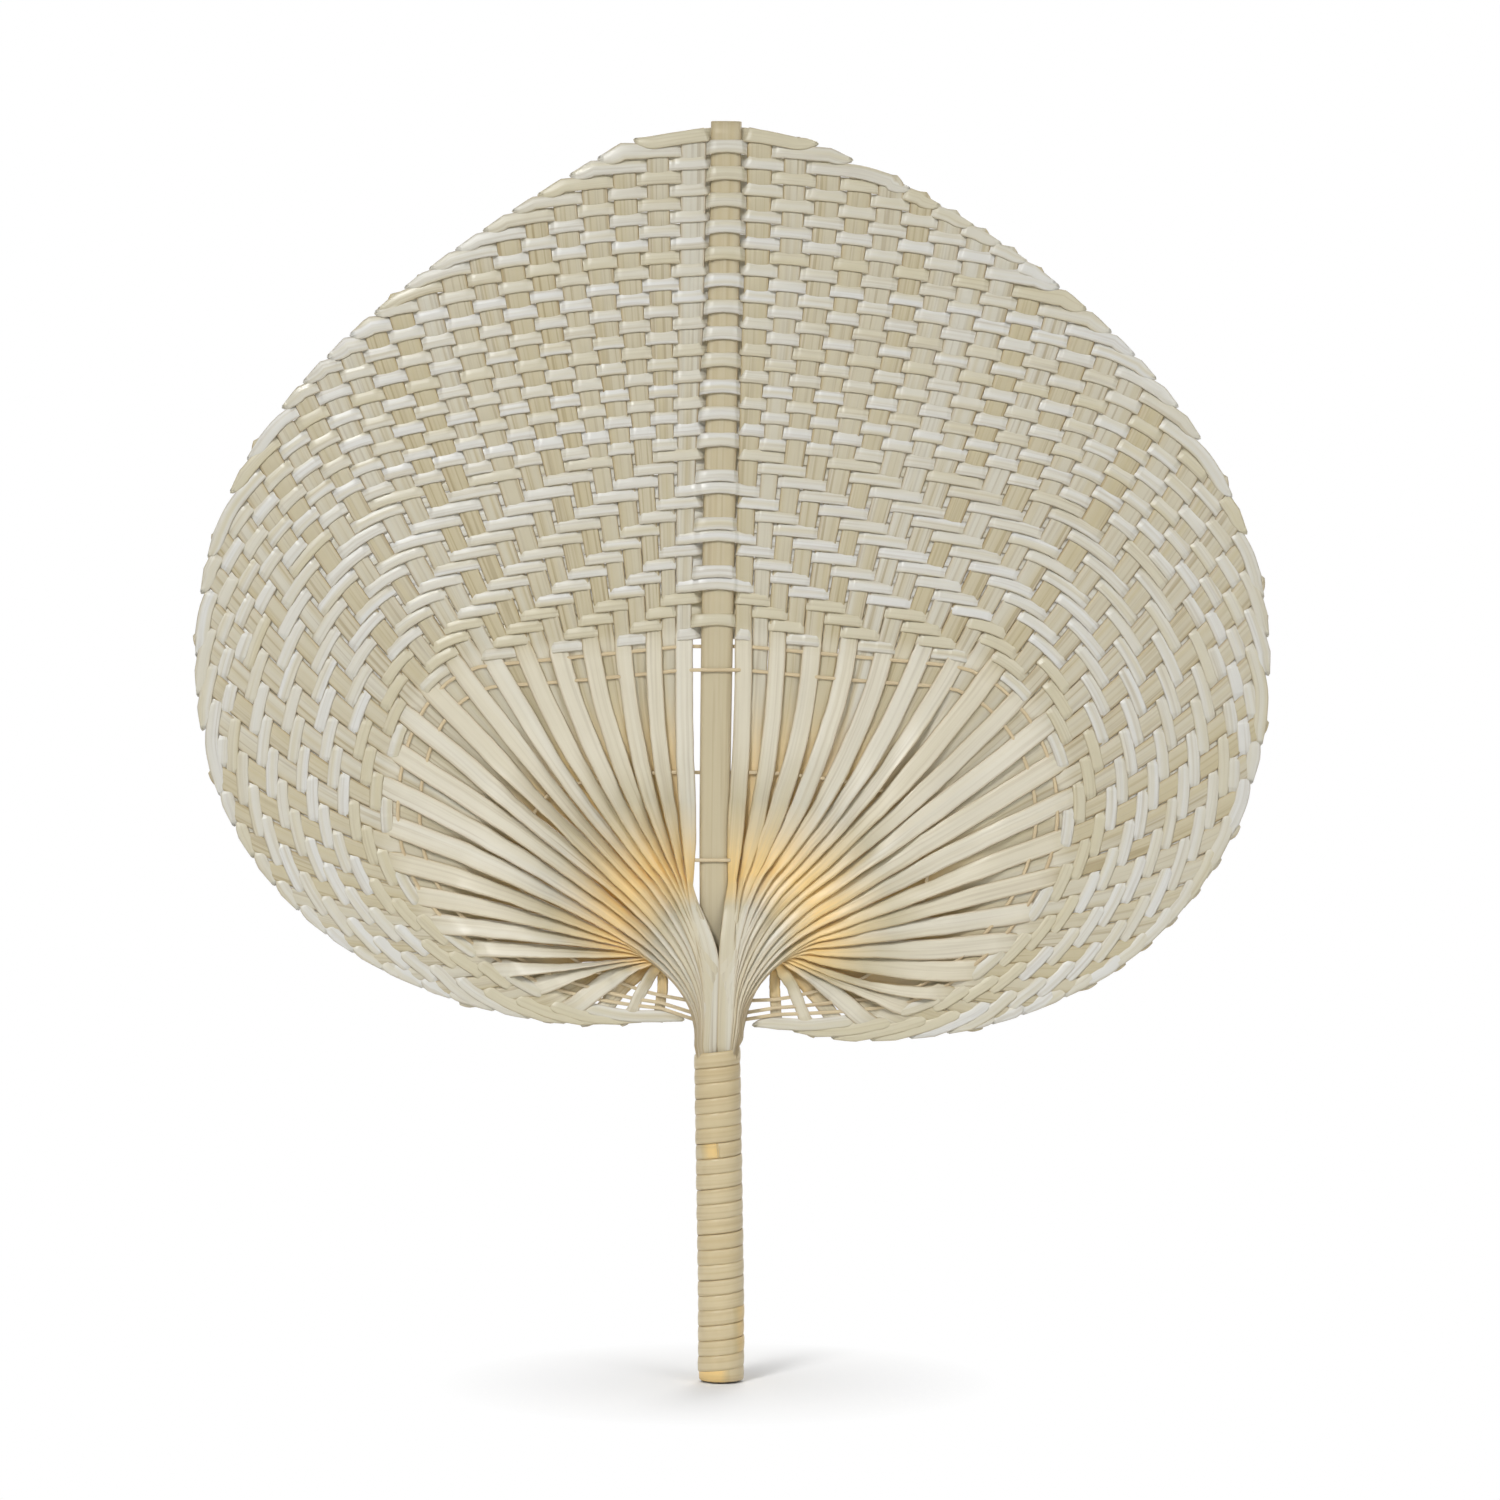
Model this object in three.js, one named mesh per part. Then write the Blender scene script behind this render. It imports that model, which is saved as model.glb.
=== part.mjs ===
// Rigid hand fan woven from split bamboo. A slat spine runs from the butt of the handle to the top of
// the blade. Splints lie round it in the handle, turn out at the throat, radiate like ribs and carry the
// weave. Bands cross them over and under, thin tie splints hold the ribs apart, and two strips bind the
// handle. Millimetres, +Z up along the spine, front of the fan towards -Y, origin at the butt end.
import * as THREE from 'three';

// Spine, a flat slat
const SPINE_WIDTH = 9;
const SPINE_THICKNESS = 2;
const SPINE_STUB = 3;

// Splints: each one here stands for about three thin neighbours of the real fan
const SPLINTS_PER_SIDE = 14;
const SPLINT_THICKNESS = 0.4;
const SPLINT_WIDTH_AT_SPINE = 7.2;
const SPLINT_WIDTH_AT_FOOT = 9.4;
const SPLINT_WIDTH_AT_THROAT = 4.6;
const LAYER_GAP = 0.2;
const DECK_GAP = 0.3;

// Handle
const HANDLE_LENGTH = 96;
const TAIL_INSET = 0.4;
const BUNDLE_CROWN = 0.55;
const BINDING_THICKNESS = 0.7;
const BINDING_WIDTH = 3.85;
const BINDING_PITCH = 4.32;
const BINDING_GAP = 0.35;
const BINDING_INSET = 0.5;
const BINDING_JOINT = 0.6;
const LOWER_BINDING_SHARE = 0.7;
const FRONT_QUARTER = 0.25;
const BINDING_STEPS = 14;

// Throat, measured from the top of the handle: the splints turn edge on, then bend out over a round
const TURN_HEIGHT = 7;
const THROAT_OUT = 14;
const THROAT_UP = 32;
const THROAT_HALF_WIDTH = 14.5;
const THROAT_RISE = 17.5;
const THROAT_DROP = 21;
const THROAT_FIRST_ANGLE = -29;
const THROAT_SWEEP = 124;
const THROAT_SWEEP_GROWTH = 73;

// Inner edge of the weave, the ring: out from the axis, and up from the top of the handle
const RING_TOP = 116;
const RING_SHOULDER_OUT = 66;
const RING_SHOULDER_UP = 109.5;
const RING_CORNER_PULL = 18;
const RING_WIDEST_UP = 67;
const RING_SIDE_PULL = 20;
const FIRST_SPLINT_OUT = 9.5;
const LAST_SPLINT_GAP = 5;
const RIB_LANDING = 2.4;
const RING_SPACING_AT_SPINE = 0.65;

// Rim of the blade, up from the top of the handle
const RIM_TOP = 261;
const RIM_SHOULDER_OUT = 26;
const RIM_SHOULDER_DROP = 2.4;
const RIM_LAST_GAP = 26;
const RIM_SLIP = 0.06;
const LOWEST_LEAN = 92;
const RIM_LEAN_POWER = 1.6;
const STEEPEST_CUT = 1;

// The two halves of the hand-made blade differ a little
const SIDES = [
  {
    name: 'left',
    sign: -1,
    halfWidth: 150.2,
    ringHalfWidth: 93,
    widestUp: 113.5,
    shoulderPullOut: 77.5,
    shoulderPullDown: 44.5,
    sidePullUp: 61,
    sidePullDown: 88,
    footOut: 40,
    footUp: 5.5,
    footPull: 36,
  },
  {
    name: 'right',
    sign: 1,
    halfWidth: 158.4,
    ringHalfWidth: 98,
    widestUp: 109,
    shoulderPullOut: 85.5,
    shoulderPullDown: 37.3,
    sidePullUp: 59.5,
    sidePullDown: 65.6,
    footOut: 40,
    footUp: 0.7,
    footPull: 69,
  },
];

// Weave bands: each one here stands for two thin neighbours of the real fan
const BAND_PITCH = 7.46;
const BAND_WIDTH = 6.3;
const FIRST_BAND_GAP = 0.6;
const WEAVE_GAP = 0.25;
const EDGE_CLEARANCE = 0.35;
const BAND_OVERHANG = 1.2;
const RIM_CLEARANCE = 0.2;

// Tie splints, thin sticks between the front and back ribs
const TIE_THICKNESS = 0.8;
const RING_TIE_INSET = 1.2;
const SECOND_TIE_INSET = 6;
const MIDDLE_TIE_SHARE = 0.42;
const THROAT_TIE_SHARE = 0.07;
const MIDDLE_TIE_RIBS = 12;
const THROAT_TIE_RIBS = 6;

// Facets along each piece
const TURN_STEPS = 7;
const NECK_STEPS = 4;
const RIB_STEPS = 6;
const BLADE_STEPS = 7;

const COLOURS = {
  spine: 0xc9bb92,
  splint: 0xd8cda8,
  band: 0xe4dcc0,
  tie: 0xd6b585,
  binding: 0xcfb87e,
};

const RIGHT_ANGLE = Math.PI / 2;
const FULL_TURN = Math.PI * 2;
const layersPerDeck = Math.ceil(SPLINTS_PER_SIDE / 2);
const layerPitch = SPLINT_THICKNESS + LAYER_GAP;
const deckFace = SPINE_THICKNESS / 2 + LAYER_GAP;
const bundleRadius = deckFace + layersPerDeck * layerPitch - LAYER_GAP + BUNDLE_CROWN;
const bindingRadius = bundleRadius + BINDING_GAP;
const bladeHeight = HANDLE_LENGTH + RIM_TOP;
const ringTopHeight = HANDLE_LENGTH + RING_TOP;
const neckHeight = HANDLE_LENGTH + TURN_HEIGHT;
const ribOffset = SPLINT_THICKNESS / 2 + WEAVE_GAP + TIE_THICKNESS / 2;
const weaveHeight = SPLINT_THICKNESS + WEAVE_GAP;
const spineWeaveHeight = SPINE_THICKNESS / 2 + WEAVE_GAP + SPLINT_THICKNESS / 2;

const lerp = THREE.MathUtils.lerp;
const smooth = (t) => THREE.MathUtils.smoothstep(t, 0, 1);
const upFrom = (lean) => new THREE.Vector2(Math.sin(lean), Math.cos(lean));
const outFrom = (tangent) => new THREE.Vector2(tangent.y, -tangent.x);

// A closed solid through rings of four corners, each ring running anticlockwise about the way ahead
function loft(rings) {
  const positions = rings.flat().flatMap((corner) => [corner.x, corner.y, corner.z]);
  const faces = [];
  const last = 4 * (rings.length - 1);
  for (let ring = 0; ring < last; ring += 4) {
    for (let side = 0; side < 4; side += 1) {
      const a = ring + side;
      const b = ring + ((side + 1) % 4);
      if (side === 1) {
        faces.push(a, b, a + 4, b, b + 4, a + 4);
      } else {
        faces.push(a, b, b + 4, a, b + 4, a + 4);
      }
    }
  }
  faces.push(0, 3, 2, 0, 2, 1);
  faces.push(last, last + 1, last + 2, last, last + 2, last + 3);
  const geometry = new THREE.BufferGeometry();
  geometry.setAttribute('position', new THREE.Float32BufferAttribute(positions, 3));
  geometry.setIndex(faces);
  geometry.computeVertexNormals();
  return geometry;
}

// A smooth run between two places with a lean at each, in a half's own plane: out and up
function run(from, leanFrom, to, leanTo) {
  const pull = from.distanceTo(to) / 3;
  const second = from.clone().addScaledVector(upFrom(leanFrom), pull);
  const third = to.clone().addScaledVector(upFrom(leanTo), -pull);
  return new THREE.CubicBezierCurve(from, second, third, to);
}

const leanOf = (from, to) => Math.atan2(to.x - from.x, to.y - from.y);

function curveThrough(corners) {
  const path = new THREE.CurvePath();
  corners.forEach(([a, b, c, d]) => path.add(new THREE.CubicBezierCurve(a, b, c, d)));
  return path;
}

// Ring and rim of one half
function outlines(side) {
  const place = (out, up) => new THREE.Vector2(out, HANDLE_LENGTH + up);
  const foot = place(side.footOut, side.footUp);
  const ringTop = place(0, RING_TOP);
  const ringShoulder = place(RING_SHOULDER_OUT, RING_SHOULDER_UP);
  const ringWidest = place(side.ringHalfWidth, RING_WIDEST_UP);
  const shoulderSlope = (RING_TOP - RING_SHOULDER_UP) / RING_SHOULDER_OUT;
  const ring = curveThrough([
    [
      ringTop,
      ringTop.clone().lerp(ringShoulder, 1 / 3),
      ringTop.clone().lerp(ringShoulder, 2 / 3),
      ringShoulder,
    ],
    [
      ringShoulder,
      place(RING_SHOULDER_OUT + RING_CORNER_PULL, RING_SHOULDER_UP - shoulderSlope * RING_CORNER_PULL),
      place(side.ringHalfWidth, RING_WIDEST_UP + RING_SIDE_PULL),
      ringWidest,
    ],
    [
      ringWidest,
      place(side.ringHalfWidth, RING_WIDEST_UP - RING_SIDE_PULL),
      foot.clone().lerp(ringWidest, 1 / 2).add(new THREE.Vector2(0, -RING_SIDE_PULL / 2)),
      foot,
    ],
  ]);
  const rimTop = place(0, RIM_TOP);
  const rimShoulder = place(RIM_SHOULDER_OUT, RIM_TOP - RIM_SHOULDER_DROP);
  const widest = place(side.halfWidth, side.widestUp);
  const rim = curveThrough([
    [rimTop, rimTop.clone().lerp(rimShoulder, 1 / 3), rimTop.clone().lerp(rimShoulder, 2 / 3), rimShoulder],
    [
      rimShoulder,
      place(RIM_SHOULDER_OUT + side.shoulderPullOut, RIM_TOP - RIM_SHOULDER_DROP - side.shoulderPullDown),
      place(side.halfWidth, side.widestUp + side.sidePullUp),
      widest,
    ],
    [
      widest,
      place(side.halfWidth, side.widestUp - side.sidePullDown),
      place(side.footOut + side.footPull, side.footUp),
      foot,
    ],
  ]);
  return { ring, rim };
}

// The route of one splint in its half's plane, from the neck to the rim
function splintRoute(side, lines, index) {
  const share = (2 * index + 0.5) / (2 * SPLINTS_PER_SIDE - 1);
  const layer = Math.floor(index / 2);
  const ringLength = lines.ring.getLength();
  const ringRun = ringLength - FIRST_SPLINT_OUT - LAST_SPLINT_GAP;
  const spaced = RING_SPACING_AT_SPINE * share + (1 - RING_SPACING_AT_SPINE) * share * share;
  const onRing = lines.ring.getPoint((FIRST_SPLINT_OUT + ringRun * spaced) / ringLength);
  const rimLength = lines.rim.getLength();
  const rimRun = rimLength - FIRST_SPLINT_OUT - RIM_LAST_GAP;
  const slipped = share - RIM_SLIP * Math.sin(Math.PI * share);
  const rimAt = (FIRST_SPLINT_OUT + rimRun * slipped) / rimLength;
  const onRim = lines.rim.getPoint(rimAt);
  const lowestLean = THREE.MathUtils.degToRad(LOWEST_LEAN);
  const ringLean = lowestLean * smooth(share);
  const rimLean = lowestLean * share ** RIM_LEAN_POWER;
  const turn = THROAT_FIRST_ANGLE + THROAT_SWEEP * share + THROAT_SWEEP_GROWTH * share * share;
  const round = upFrom(THREE.MathUtils.degToRad(turn));
  const throat = new THREE.Vector2(
    THROAT_OUT + THROAT_HALF_WIDTH * round.x,
    HANDLE_LENGTH + THROAT_UP + (round.y > 0 ? THROAT_RISE : THROAT_DROP) * round.y,
  );
  const throatLean = 2 * leanOf(throat, onRing) - ringLean;
  const neckOut = SPINE_WIDTH / 2 + LAYER_GAP + layer * layerPitch + SPLINT_THICKNESS / 2;
  const neck = new THREE.Vector2(neckOut, neckHeight);
  return {
    share,
    layer,
    deck: index % 2 === 0 ? -1 : 1,
    width: lerp(SPLINT_WIDTH_AT_SPINE, SPLINT_WIDTH_AT_FOOT, share),
    bend: run(neck, 0, throat, throatLean),
    rib: run(throat, throatLean, onRing, ringLean),
    blade: run(onRing, ringLean, onRim, rimLean),
    rimTangent: lines.rim.getTangent(rimAt),
  };
}

// Four corners of a splint's section: turn 0 lies flat to the front, a right angle stands edge on.
// A cut line makes the section slanted, as an end that follows the rim is.
function splintRing(side, route, centre, tangent, depth, width, turn, cutLine) {
  const ahead = new THREE.Vector3(side.sign * tangent.x, 0, tangent.y);
  const out = outFrom(tangent);
  const face = new THREE.Vector3(side.sign * out.x, 0, out.y).multiplyScalar(Math.sin(turn));
  face.y = route.deck * Math.cos(turn);
  const across = new THREE.Vector3().crossVectors(ahead, face);
  if (cutLine) {
    const line = new THREE.Vector3(side.sign * cutLine.x, 0, cutLine.y);
    const slant = line.dot(ahead) / line.dot(across);
    across.addScaledVector(ahead, THREE.MathUtils.clamp(slant, -STEEPEST_CUT, STEEPEST_CUT));
  }
  across.multiplyScalar(width / 2);
  face.multiplyScalar(SPLINT_THICKNESS / 2);
  const middle = new THREE.Vector3(side.sign * centre.x, route.deck * depth, centre.y);
  return [
    middle.clone().add(face).add(across),
    middle.clone().sub(face).add(across),
    middle.clone().sub(face).sub(across),
    middle.clone().add(face).sub(across),
  ];
}

// Shares of the open rib where a splint starts down into the weave, and where it lies in it
const flatShare = (route) => 1 - route.flatRun / route.rib.getLength();
const landingShare = (route) => flatShare(route) - RIB_LANDING / route.rib.getLength();

// Turn, width and depth of a splint along its open rib: edge on at the throat, flat by the weave
function ribSection(route, at) {
  const opened = smooth(at / landingShare(route));
  const turn = RIGHT_ANGLE * (1 - opened);
  const width = lerp(SPLINT_WIDTH_AT_THROAT, route.width, opened);
  const depth = lerp(deckFace, ribOffset, opened) + (width / 2) * Math.sin(turn);
  return { turn, width, depth };
}

function splintGeometry(side, route) {
  const rings = [];
  const upright = new THREE.Vector2(0, 1);
  const layerDepth = route.layer * layerPitch + SPLINT_THICKNESS / 2;
  const outerFace = deckFace + layerDepth + SPLINT_THICKNESS / 2;
  const chord = Math.sqrt(bundleRadius ** 2 - outerFace ** 2) - DECK_GAP / 2;
  const tailWidth = Math.min(SPLINT_WIDTH_AT_THROAT, chord);

  const addTurned = (height, share) => {
    const turned = smooth(share);
    const turn = turned * RIGHT_ANGLE;
    const width = lerp(tailWidth, SPLINT_WIDTH_AT_THROAT, turned);
    const inner = lerp(DECK_GAP / 2, SPINE_WIDTH / 2 + LAYER_GAP, turned);
    const out = inner + (width / 2) * Math.cos(turn) + layerDepth * Math.sin(turn);
    const lift = (SPLINT_WIDTH_AT_THROAT - width / 2) * Math.sin(turn);
    const depth = deckFace + layerDepth * Math.cos(turn) + lift;
    rings.push(splintRing(side, route, new THREE.Vector2(out, height), upright, depth, width, turn));
  };
  addTurned(TAIL_INSET, 0);
  for (let step = 0; step <= TURN_STEPS; step += 1) {
    addTurned(HANDLE_LENGTH + (TURN_HEIGHT * step) / TURN_STEPS, step / TURN_STEPS);
  }

  const throatDepth = deckFace + SPLINT_WIDTH_AT_THROAT / 2;
  for (let step = 1; step <= NECK_STEPS; step += 1) {
    const at = step / NECK_STEPS;
    const centre = route.bend.getPointAt(at);
    const tangent = route.bend.getTangentAt(at);
    rings.push(splintRing(side, route, centre, tangent, throatDepth, SPLINT_WIDTH_AT_THROAT, RIGHT_ANGLE));
  }

  for (let step = 1; step <= RIB_STEPS; step += 1) {
    const at = (landingShare(route) * step) / RIB_STEPS;
    const { turn, width, depth } = ribSection(route, at);
    const centre = route.rib.getPointAt(at);
    rings.push(splintRing(side, route, centre, route.rib.getTangentAt(at), depth, width, turn));
  }

  const landed = flatShare(route);
  const landedTangent = route.rib.getTangentAt(landed);
  rings.push(splintRing(side, route, route.rib.getPointAt(landed), landedTangent, 0, route.width, 0));
  for (let step = 0; step <= BLADE_STEPS; step += 1) {
    const at = step / BLADE_STEPS;
    const centre = route.blade.getPointAt(at);
    const cutLine = step === BLADE_STEPS ? route.rimTangent : undefined;
    rings.push(splintRing(side, route, centre, route.blade.getTangentAt(at), 0, route.width, 0, cutLine));
  }
  return loft(rings);
}

// Where a line at one distance from the ring passes a splint's edges, running on towards its neighbours
function linePast(half, index, distance) {
  const centreOf = (at) => {
    if (at < 0) {
      return new THREE.Vector2(0, ringTopHeight + distance);
    }
    const { blade } = half.routes[at];
    return blade.getPointAt(Math.min(distance / blade.getLength(), 1));
  };
  const route = half.routes[index];
  const ahead = Math.min(index + 1, half.routes.length - 1);
  const way = centreOf(ahead).sub(centreOf(index - 1)).normalize();
  const tangent = route.blade.getTangentAt(distance / route.blade.getLength());
  const slant = way.dot(outFrom(tangent));
  return { centre: centreOf(index), way, reach: (route.width / 2 + EDGE_CLEARANCE) / slant };
}

function edgePoints(half, index, low, high, edge) {
  return [low, high].map((distance) => {
    const { centre, way, reach } = linePast(half, index, distance);
    centre.addScaledVector(way, edge * reach);
    return new THREE.Vector3(half.side.sign * centre.x, 0, centre.y);
  });
}

// How far before the ring a splint has to lie flat, so that the first band clears its way down
function flatRunOf(half, index) {
  const { reach } = linePast(half, index, FIRST_BAND_GAP);
  const across = half.routes[index].width / 2 + EDGE_CLEARANCE;
  return Math.sqrt(reach ** 2 - across ** 2);
}

// Four corners of a band's section on its way from left to right
function bandRing([low, high], depth, thickness) {
  const shift = new THREE.Vector3(0, thickness / 2, 0);
  const level = new THREE.Vector3(0, depth, 0);
  const top = high.clone().add(level);
  const bottom = low.clone().add(level);
  return [
    top.clone().add(shift),
    top.clone().sub(shift),
    bottom.clone().sub(shift),
    bottom.clone().add(shift),
  ];
}

// The crossings of one band on one half, from the spine outwards
function bandCrossings(half, index) {
  const low = FIRST_BAND_GAP + index * BAND_PITCH;
  const high = low + BAND_WIDTH;
  const crossings = [];
  for (const [splint, route] of half.routes.entries()) {
    if (route.blade.getLength() < high + RIM_CLEARANCE) {
      break;
    }
    const over = (splint + index) % 4 < 2 ? -1 : 1;
    crossings.push({
      inner: edgePoints(half, splint, low, high, -1),
      outer: edgePoints(half, splint, low, high, 1),
      depth: over * weaveHeight,
    });
  }
  return crossings;
}

function bandGeometry(halves, index) {
  const [left, right] = halves.map((half) => bandCrossings(half, index));
  const low = ringTopHeight + FIRST_BAND_GAP + index * BAND_PITCH;
  const spineEdge = (sign) => [low, low + BAND_WIDTH].map(
    (height) => new THREE.Vector3(sign * (SPINE_WIDTH / 2 + EDGE_CLEARANCE), 0, height),
  );
  const crossings = [
    ...left.reverse().map(({ inner, outer, depth }) => ({ entry: outer, exit: inner, depth })),
    {
      entry: spineEdge(-1),
      exit: spineEdge(1),
      depth: (index % 2 === 0 ? -1 : 1) * spineWeaveHeight,
    },
    ...right.map(({ inner, outer, depth }) => ({ entry: inner, exit: outer, depth })),
  ];
  const beyond = (from, to) => to.map((point, corner) => {
    const way = point.clone().sub(from[corner]).setLength(BAND_OVERHANG);
    return point.clone().add(way);
  });
  const first = crossings[0];
  const last = crossings[crossings.length - 1];
  const rings = [bandRing(beyond(first.exit, first.entry), first.depth, SPLINT_THICKNESS)];
  crossings.forEach((crossing, at) => {
    const next = crossings[at + 1];
    if (at === 0) {
      rings.push(bandRing(crossing.entry, crossing.depth, SPLINT_THICKNESS));
    }
    if (!next) {
      rings.push(bandRing(crossing.exit, crossing.depth, SPLINT_THICKNESS));
    } else {
      rings.push(bandRing(crossing.exit, crossing.depth, SPLINT_THICKNESS));
      rings.push(bandRing(next.entry, next.depth, SPLINT_THICKNESS));
    }
  });
  rings.push(bandRing(beyond(last.entry, last.exit), last.depth, SPLINT_THICKNESS));
  return loft(rings);
}

// A tie splint passes between the front and back ribs, and before or behind the spine
function tieGeometry(halves, placeOn, ribs, spineSide) {
  const section = (point, way, sign, depth) => {
    const rise = new THREE.Vector2(-way.y, way.x).multiplyScalar(TIE_THICKNESS / 2);
    const ends = [point.clone().sub(rise), point.clone().add(rise)];
    return bandRing(ends.map((end) => new THREE.Vector3(sign * end.x, 0, end.y)), depth, TIE_THICKNESS);
  };
  const [left, right] = halves.map(({ side, routes }) => {
    const crossed = routes.slice(0, ribs);
    const centres = crossed.map((route) => route.rib.getPointAt(placeOn(route)));
    return crossed.flatMap((route, index) => {
      const before = index > 0 ? centres[index - 1] : new THREE.Vector2(0, centres[0].y);
      const after = centres[Math.min(index + 1, ribs - 1)];
      const way = after.clone().sub(before).normalize();
      const { turn, width } = ribSection(route, placeOn(route));
      const half = (width * Math.cos(turn) + SPLINT_THICKNESS * Math.sin(turn)) / 2 + EDGE_CLEARANCE;
      const offsets = [0];
      if (index === 0) {
        offsets.unshift(-half);
      }
      if (index === ribs - 1) {
        offsets.push(half);
      }
      return offsets.map((offset) => {
        const point = centres[index].clone().addScaledVector(way, offset);
        return { point, ring: section(point, way, side.sign, 0) };
      });
    });
  });
  const level = new THREE.Vector2(1, 0);
  const spineHeight = (left[0].point.y + right[0].point.y) / 2;
  const spineDepth = spineSide * (SPINE_THICKNESS / 2 + WEAVE_GAP + TIE_THICKNESS / 2);
  const spineEdge = new THREE.Vector2(SPINE_WIDTH / 2 + EDGE_CLEARANCE, spineHeight);
  return loft([
    ...left.reverse().map(({ ring }) => ring),
    section(spineEdge, level, -1, spineDepth),
    section(spineEdge, level, 1, spineDepth),
    ...right.map(({ ring }) => ring),
  ]);
}

// A flat strip wound round the handle between two angles, with straight ends one thickness long
function bindingRings(fromAngle, toAngle) {
  const outer = bindingRadius + BINDING_THICKNESS;
  const steps = Math.ceil(((toAngle - fromAngle) / FULL_TURN) * BINDING_STEPS);
  const rings = [];
  const ringAt = (angle, ahead) => {
    const radial = new THREE.Vector3(Math.cos(angle), Math.sin(angle), 0);
    const tangent = new THREE.Vector3(-Math.sin(angle), Math.cos(angle), 0).multiplyScalar(ahead);
    const bottom = BINDING_INSET + (BINDING_PITCH * angle) / FULL_TURN;
    const corner = (radius, rise) => {
      const point = radial.clone().multiplyScalar(radius).add(tangent);
      return point.setZ(bottom + rise);
    };
    rings.push([
      corner(outer, BINDING_WIDTH),
      corner(outer, 0),
      corner(bindingRadius, 0),
      corner(bindingRadius, BINDING_WIDTH),
    ]);
  };
  ringAt(fromAngle, -BINDING_THICKNESS);
  for (let step = 0; step <= steps; step += 1) {
    ringAt(lerp(fromAngle, toAngle, step / steps), 0);
  }
  ringAt(toAngle, BINDING_THICKNESS);
  return rings;
}

// Least distance between corners of a winding that lie more than half a turn apart
function leastGap(rings) {
  let least = Infinity;
  for (let a = 0; a < rings.length; a += 1) {
    for (let b = a + Math.ceil(BINDING_STEPS / 2); b < rings.length; b += 1) {
      for (const from of rings[a]) {
        for (const to of rings[b]) {
          least = Math.min(least, from.distanceTo(to));
        }
      }
    }
  }
  return least;
}

const fan = new THREE.Group();
fan.name = 'woven_hand_fan';

function addPiece(name, geometry, colour, roughness) {
  const material = new THREE.MeshStandardMaterial({ color: colour, roughness, metalness: 0 });
  const mesh = new THREE.Mesh(geometry, material);
  mesh.name = name;
  fan.add(mesh);
  return mesh;
}

const number = (index) => String(index + 1).padStart(2, '0');

const spineLength = bladeHeight + SPINE_STUB;
const spine = addPiece(
  'spine_slat',
  new THREE.BoxGeometry(SPINE_WIDTH, SPINE_THICKNESS, spineLength),
  COLOURS.spine,
  0.55,
);
spine.position.z = spineLength / 2;

const halves = SIDES.map((side) => {
  const lines = outlines(side);
  const routes = [];
  for (let index = 0; index < SPLINTS_PER_SIDE; index += 1) {
    routes.push(splintRoute(side, lines, index));
  }
  const half = { side, routes };
  routes.forEach((route, index) => {
    route.flatRun = flatRunOf(half, index);
    addPiece(`${side.name}_splint_${number(index)}`, splintGeometry(side, route), COLOURS.splint, 0.5);
  });
  return half;
});

const bandCount = Math.floor((RIM_TOP - RING_TOP - FIRST_BAND_GAP) / BAND_PITCH);
for (let index = 0; index < bandCount; index += 1) {
  addPiece(`weave_band_${number(index)}`, bandGeometry(halves, index), COLOURS.band, 0.45);
}

// Share of a rib that lies an inset before its way down into the weave, with room for a slanted crossing
const shareBefore = (route, inset) => landingShare(route) - (inset + route.flatRun) / route.rib.getLength();
const ties = [
  {
    name: 'ring_tie_splint',
    placeOn: (route) => shareBefore(route, RING_TIE_INSET),
    ribs: SPLINTS_PER_SIDE,
    spineSide: 1,
  },
  {
    name: 'second_tie_splint',
    placeOn: (route) => shareBefore(route, SECOND_TIE_INSET),
    ribs: SPLINTS_PER_SIDE,
    spineSide: -1,
  },
  {
    name: 'middle_tie_splint',
    placeOn: (route) => MIDDLE_TIE_SHARE * landingShare(route),
    ribs: MIDDLE_TIE_RIBS,
    spineSide: 1,
  },
  {
    name: 'throat_tie_splint',
    placeOn: () => THROAT_TIE_SHARE,
    ribs: THROAT_TIE_RIBS,
    spineSide: -1,
  },
];
ties.forEach(({ name, placeOn, ribs, spineSide }) => {
  addPiece(name, tieGeometry(halves, placeOn, ribs, spineSide), COLOURS.tie, 0.55);
});

const bindingTurns = (HANDLE_LENGTH - BINDING_INSET - BINDING_WIDTH) / BINDING_PITCH;
const jointTurns = (2 * BINDING_THICKNESS + BINDING_JOINT) / (FULL_TURN * bindingRadius);
const lowerTurns = Math.round(LOWER_BINDING_SHARE * bindingTurns) - FRONT_QUARTER;
const bindings = [
  ['lower_handle_binding', 0, lowerTurns],
  ['upper_handle_binding', lowerTurns + jointTurns, bindingTurns],
];
bindings.forEach(([name, fromTurn, toTurn]) => {
  const rings = bindingRings(fromTurn * FULL_TURN, toTurn * FULL_TURN);
  addPiece(name, loft(rings), COLOURS.binding, 0.45);
  const turns = (toTurn - fromTurn).toFixed(1);
  console.log(`${name}: ${turns} turns, least gap ${leastGap(rings).toFixed(3)} mm`);
});

export default fan;
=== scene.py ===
# %% [markdown]
# # A hand fan woven from split bamboo
#
# The fan is one bundle of thin bamboo strips. They lie round a flat spine in the handle, spread at the
# throat like a fountain, run out as open ribs, and become the warp of a woven blade. Other strips, the
# wefts, are woven across them, and thin ties keep the open ribs in their places. A long strip is wound
# round the handle. In this lesson every strip gets its own place, bend and thickness, because that is
# what the eye reads as a weave. First the packed model is loaded: it gives the frame to work in.

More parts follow.
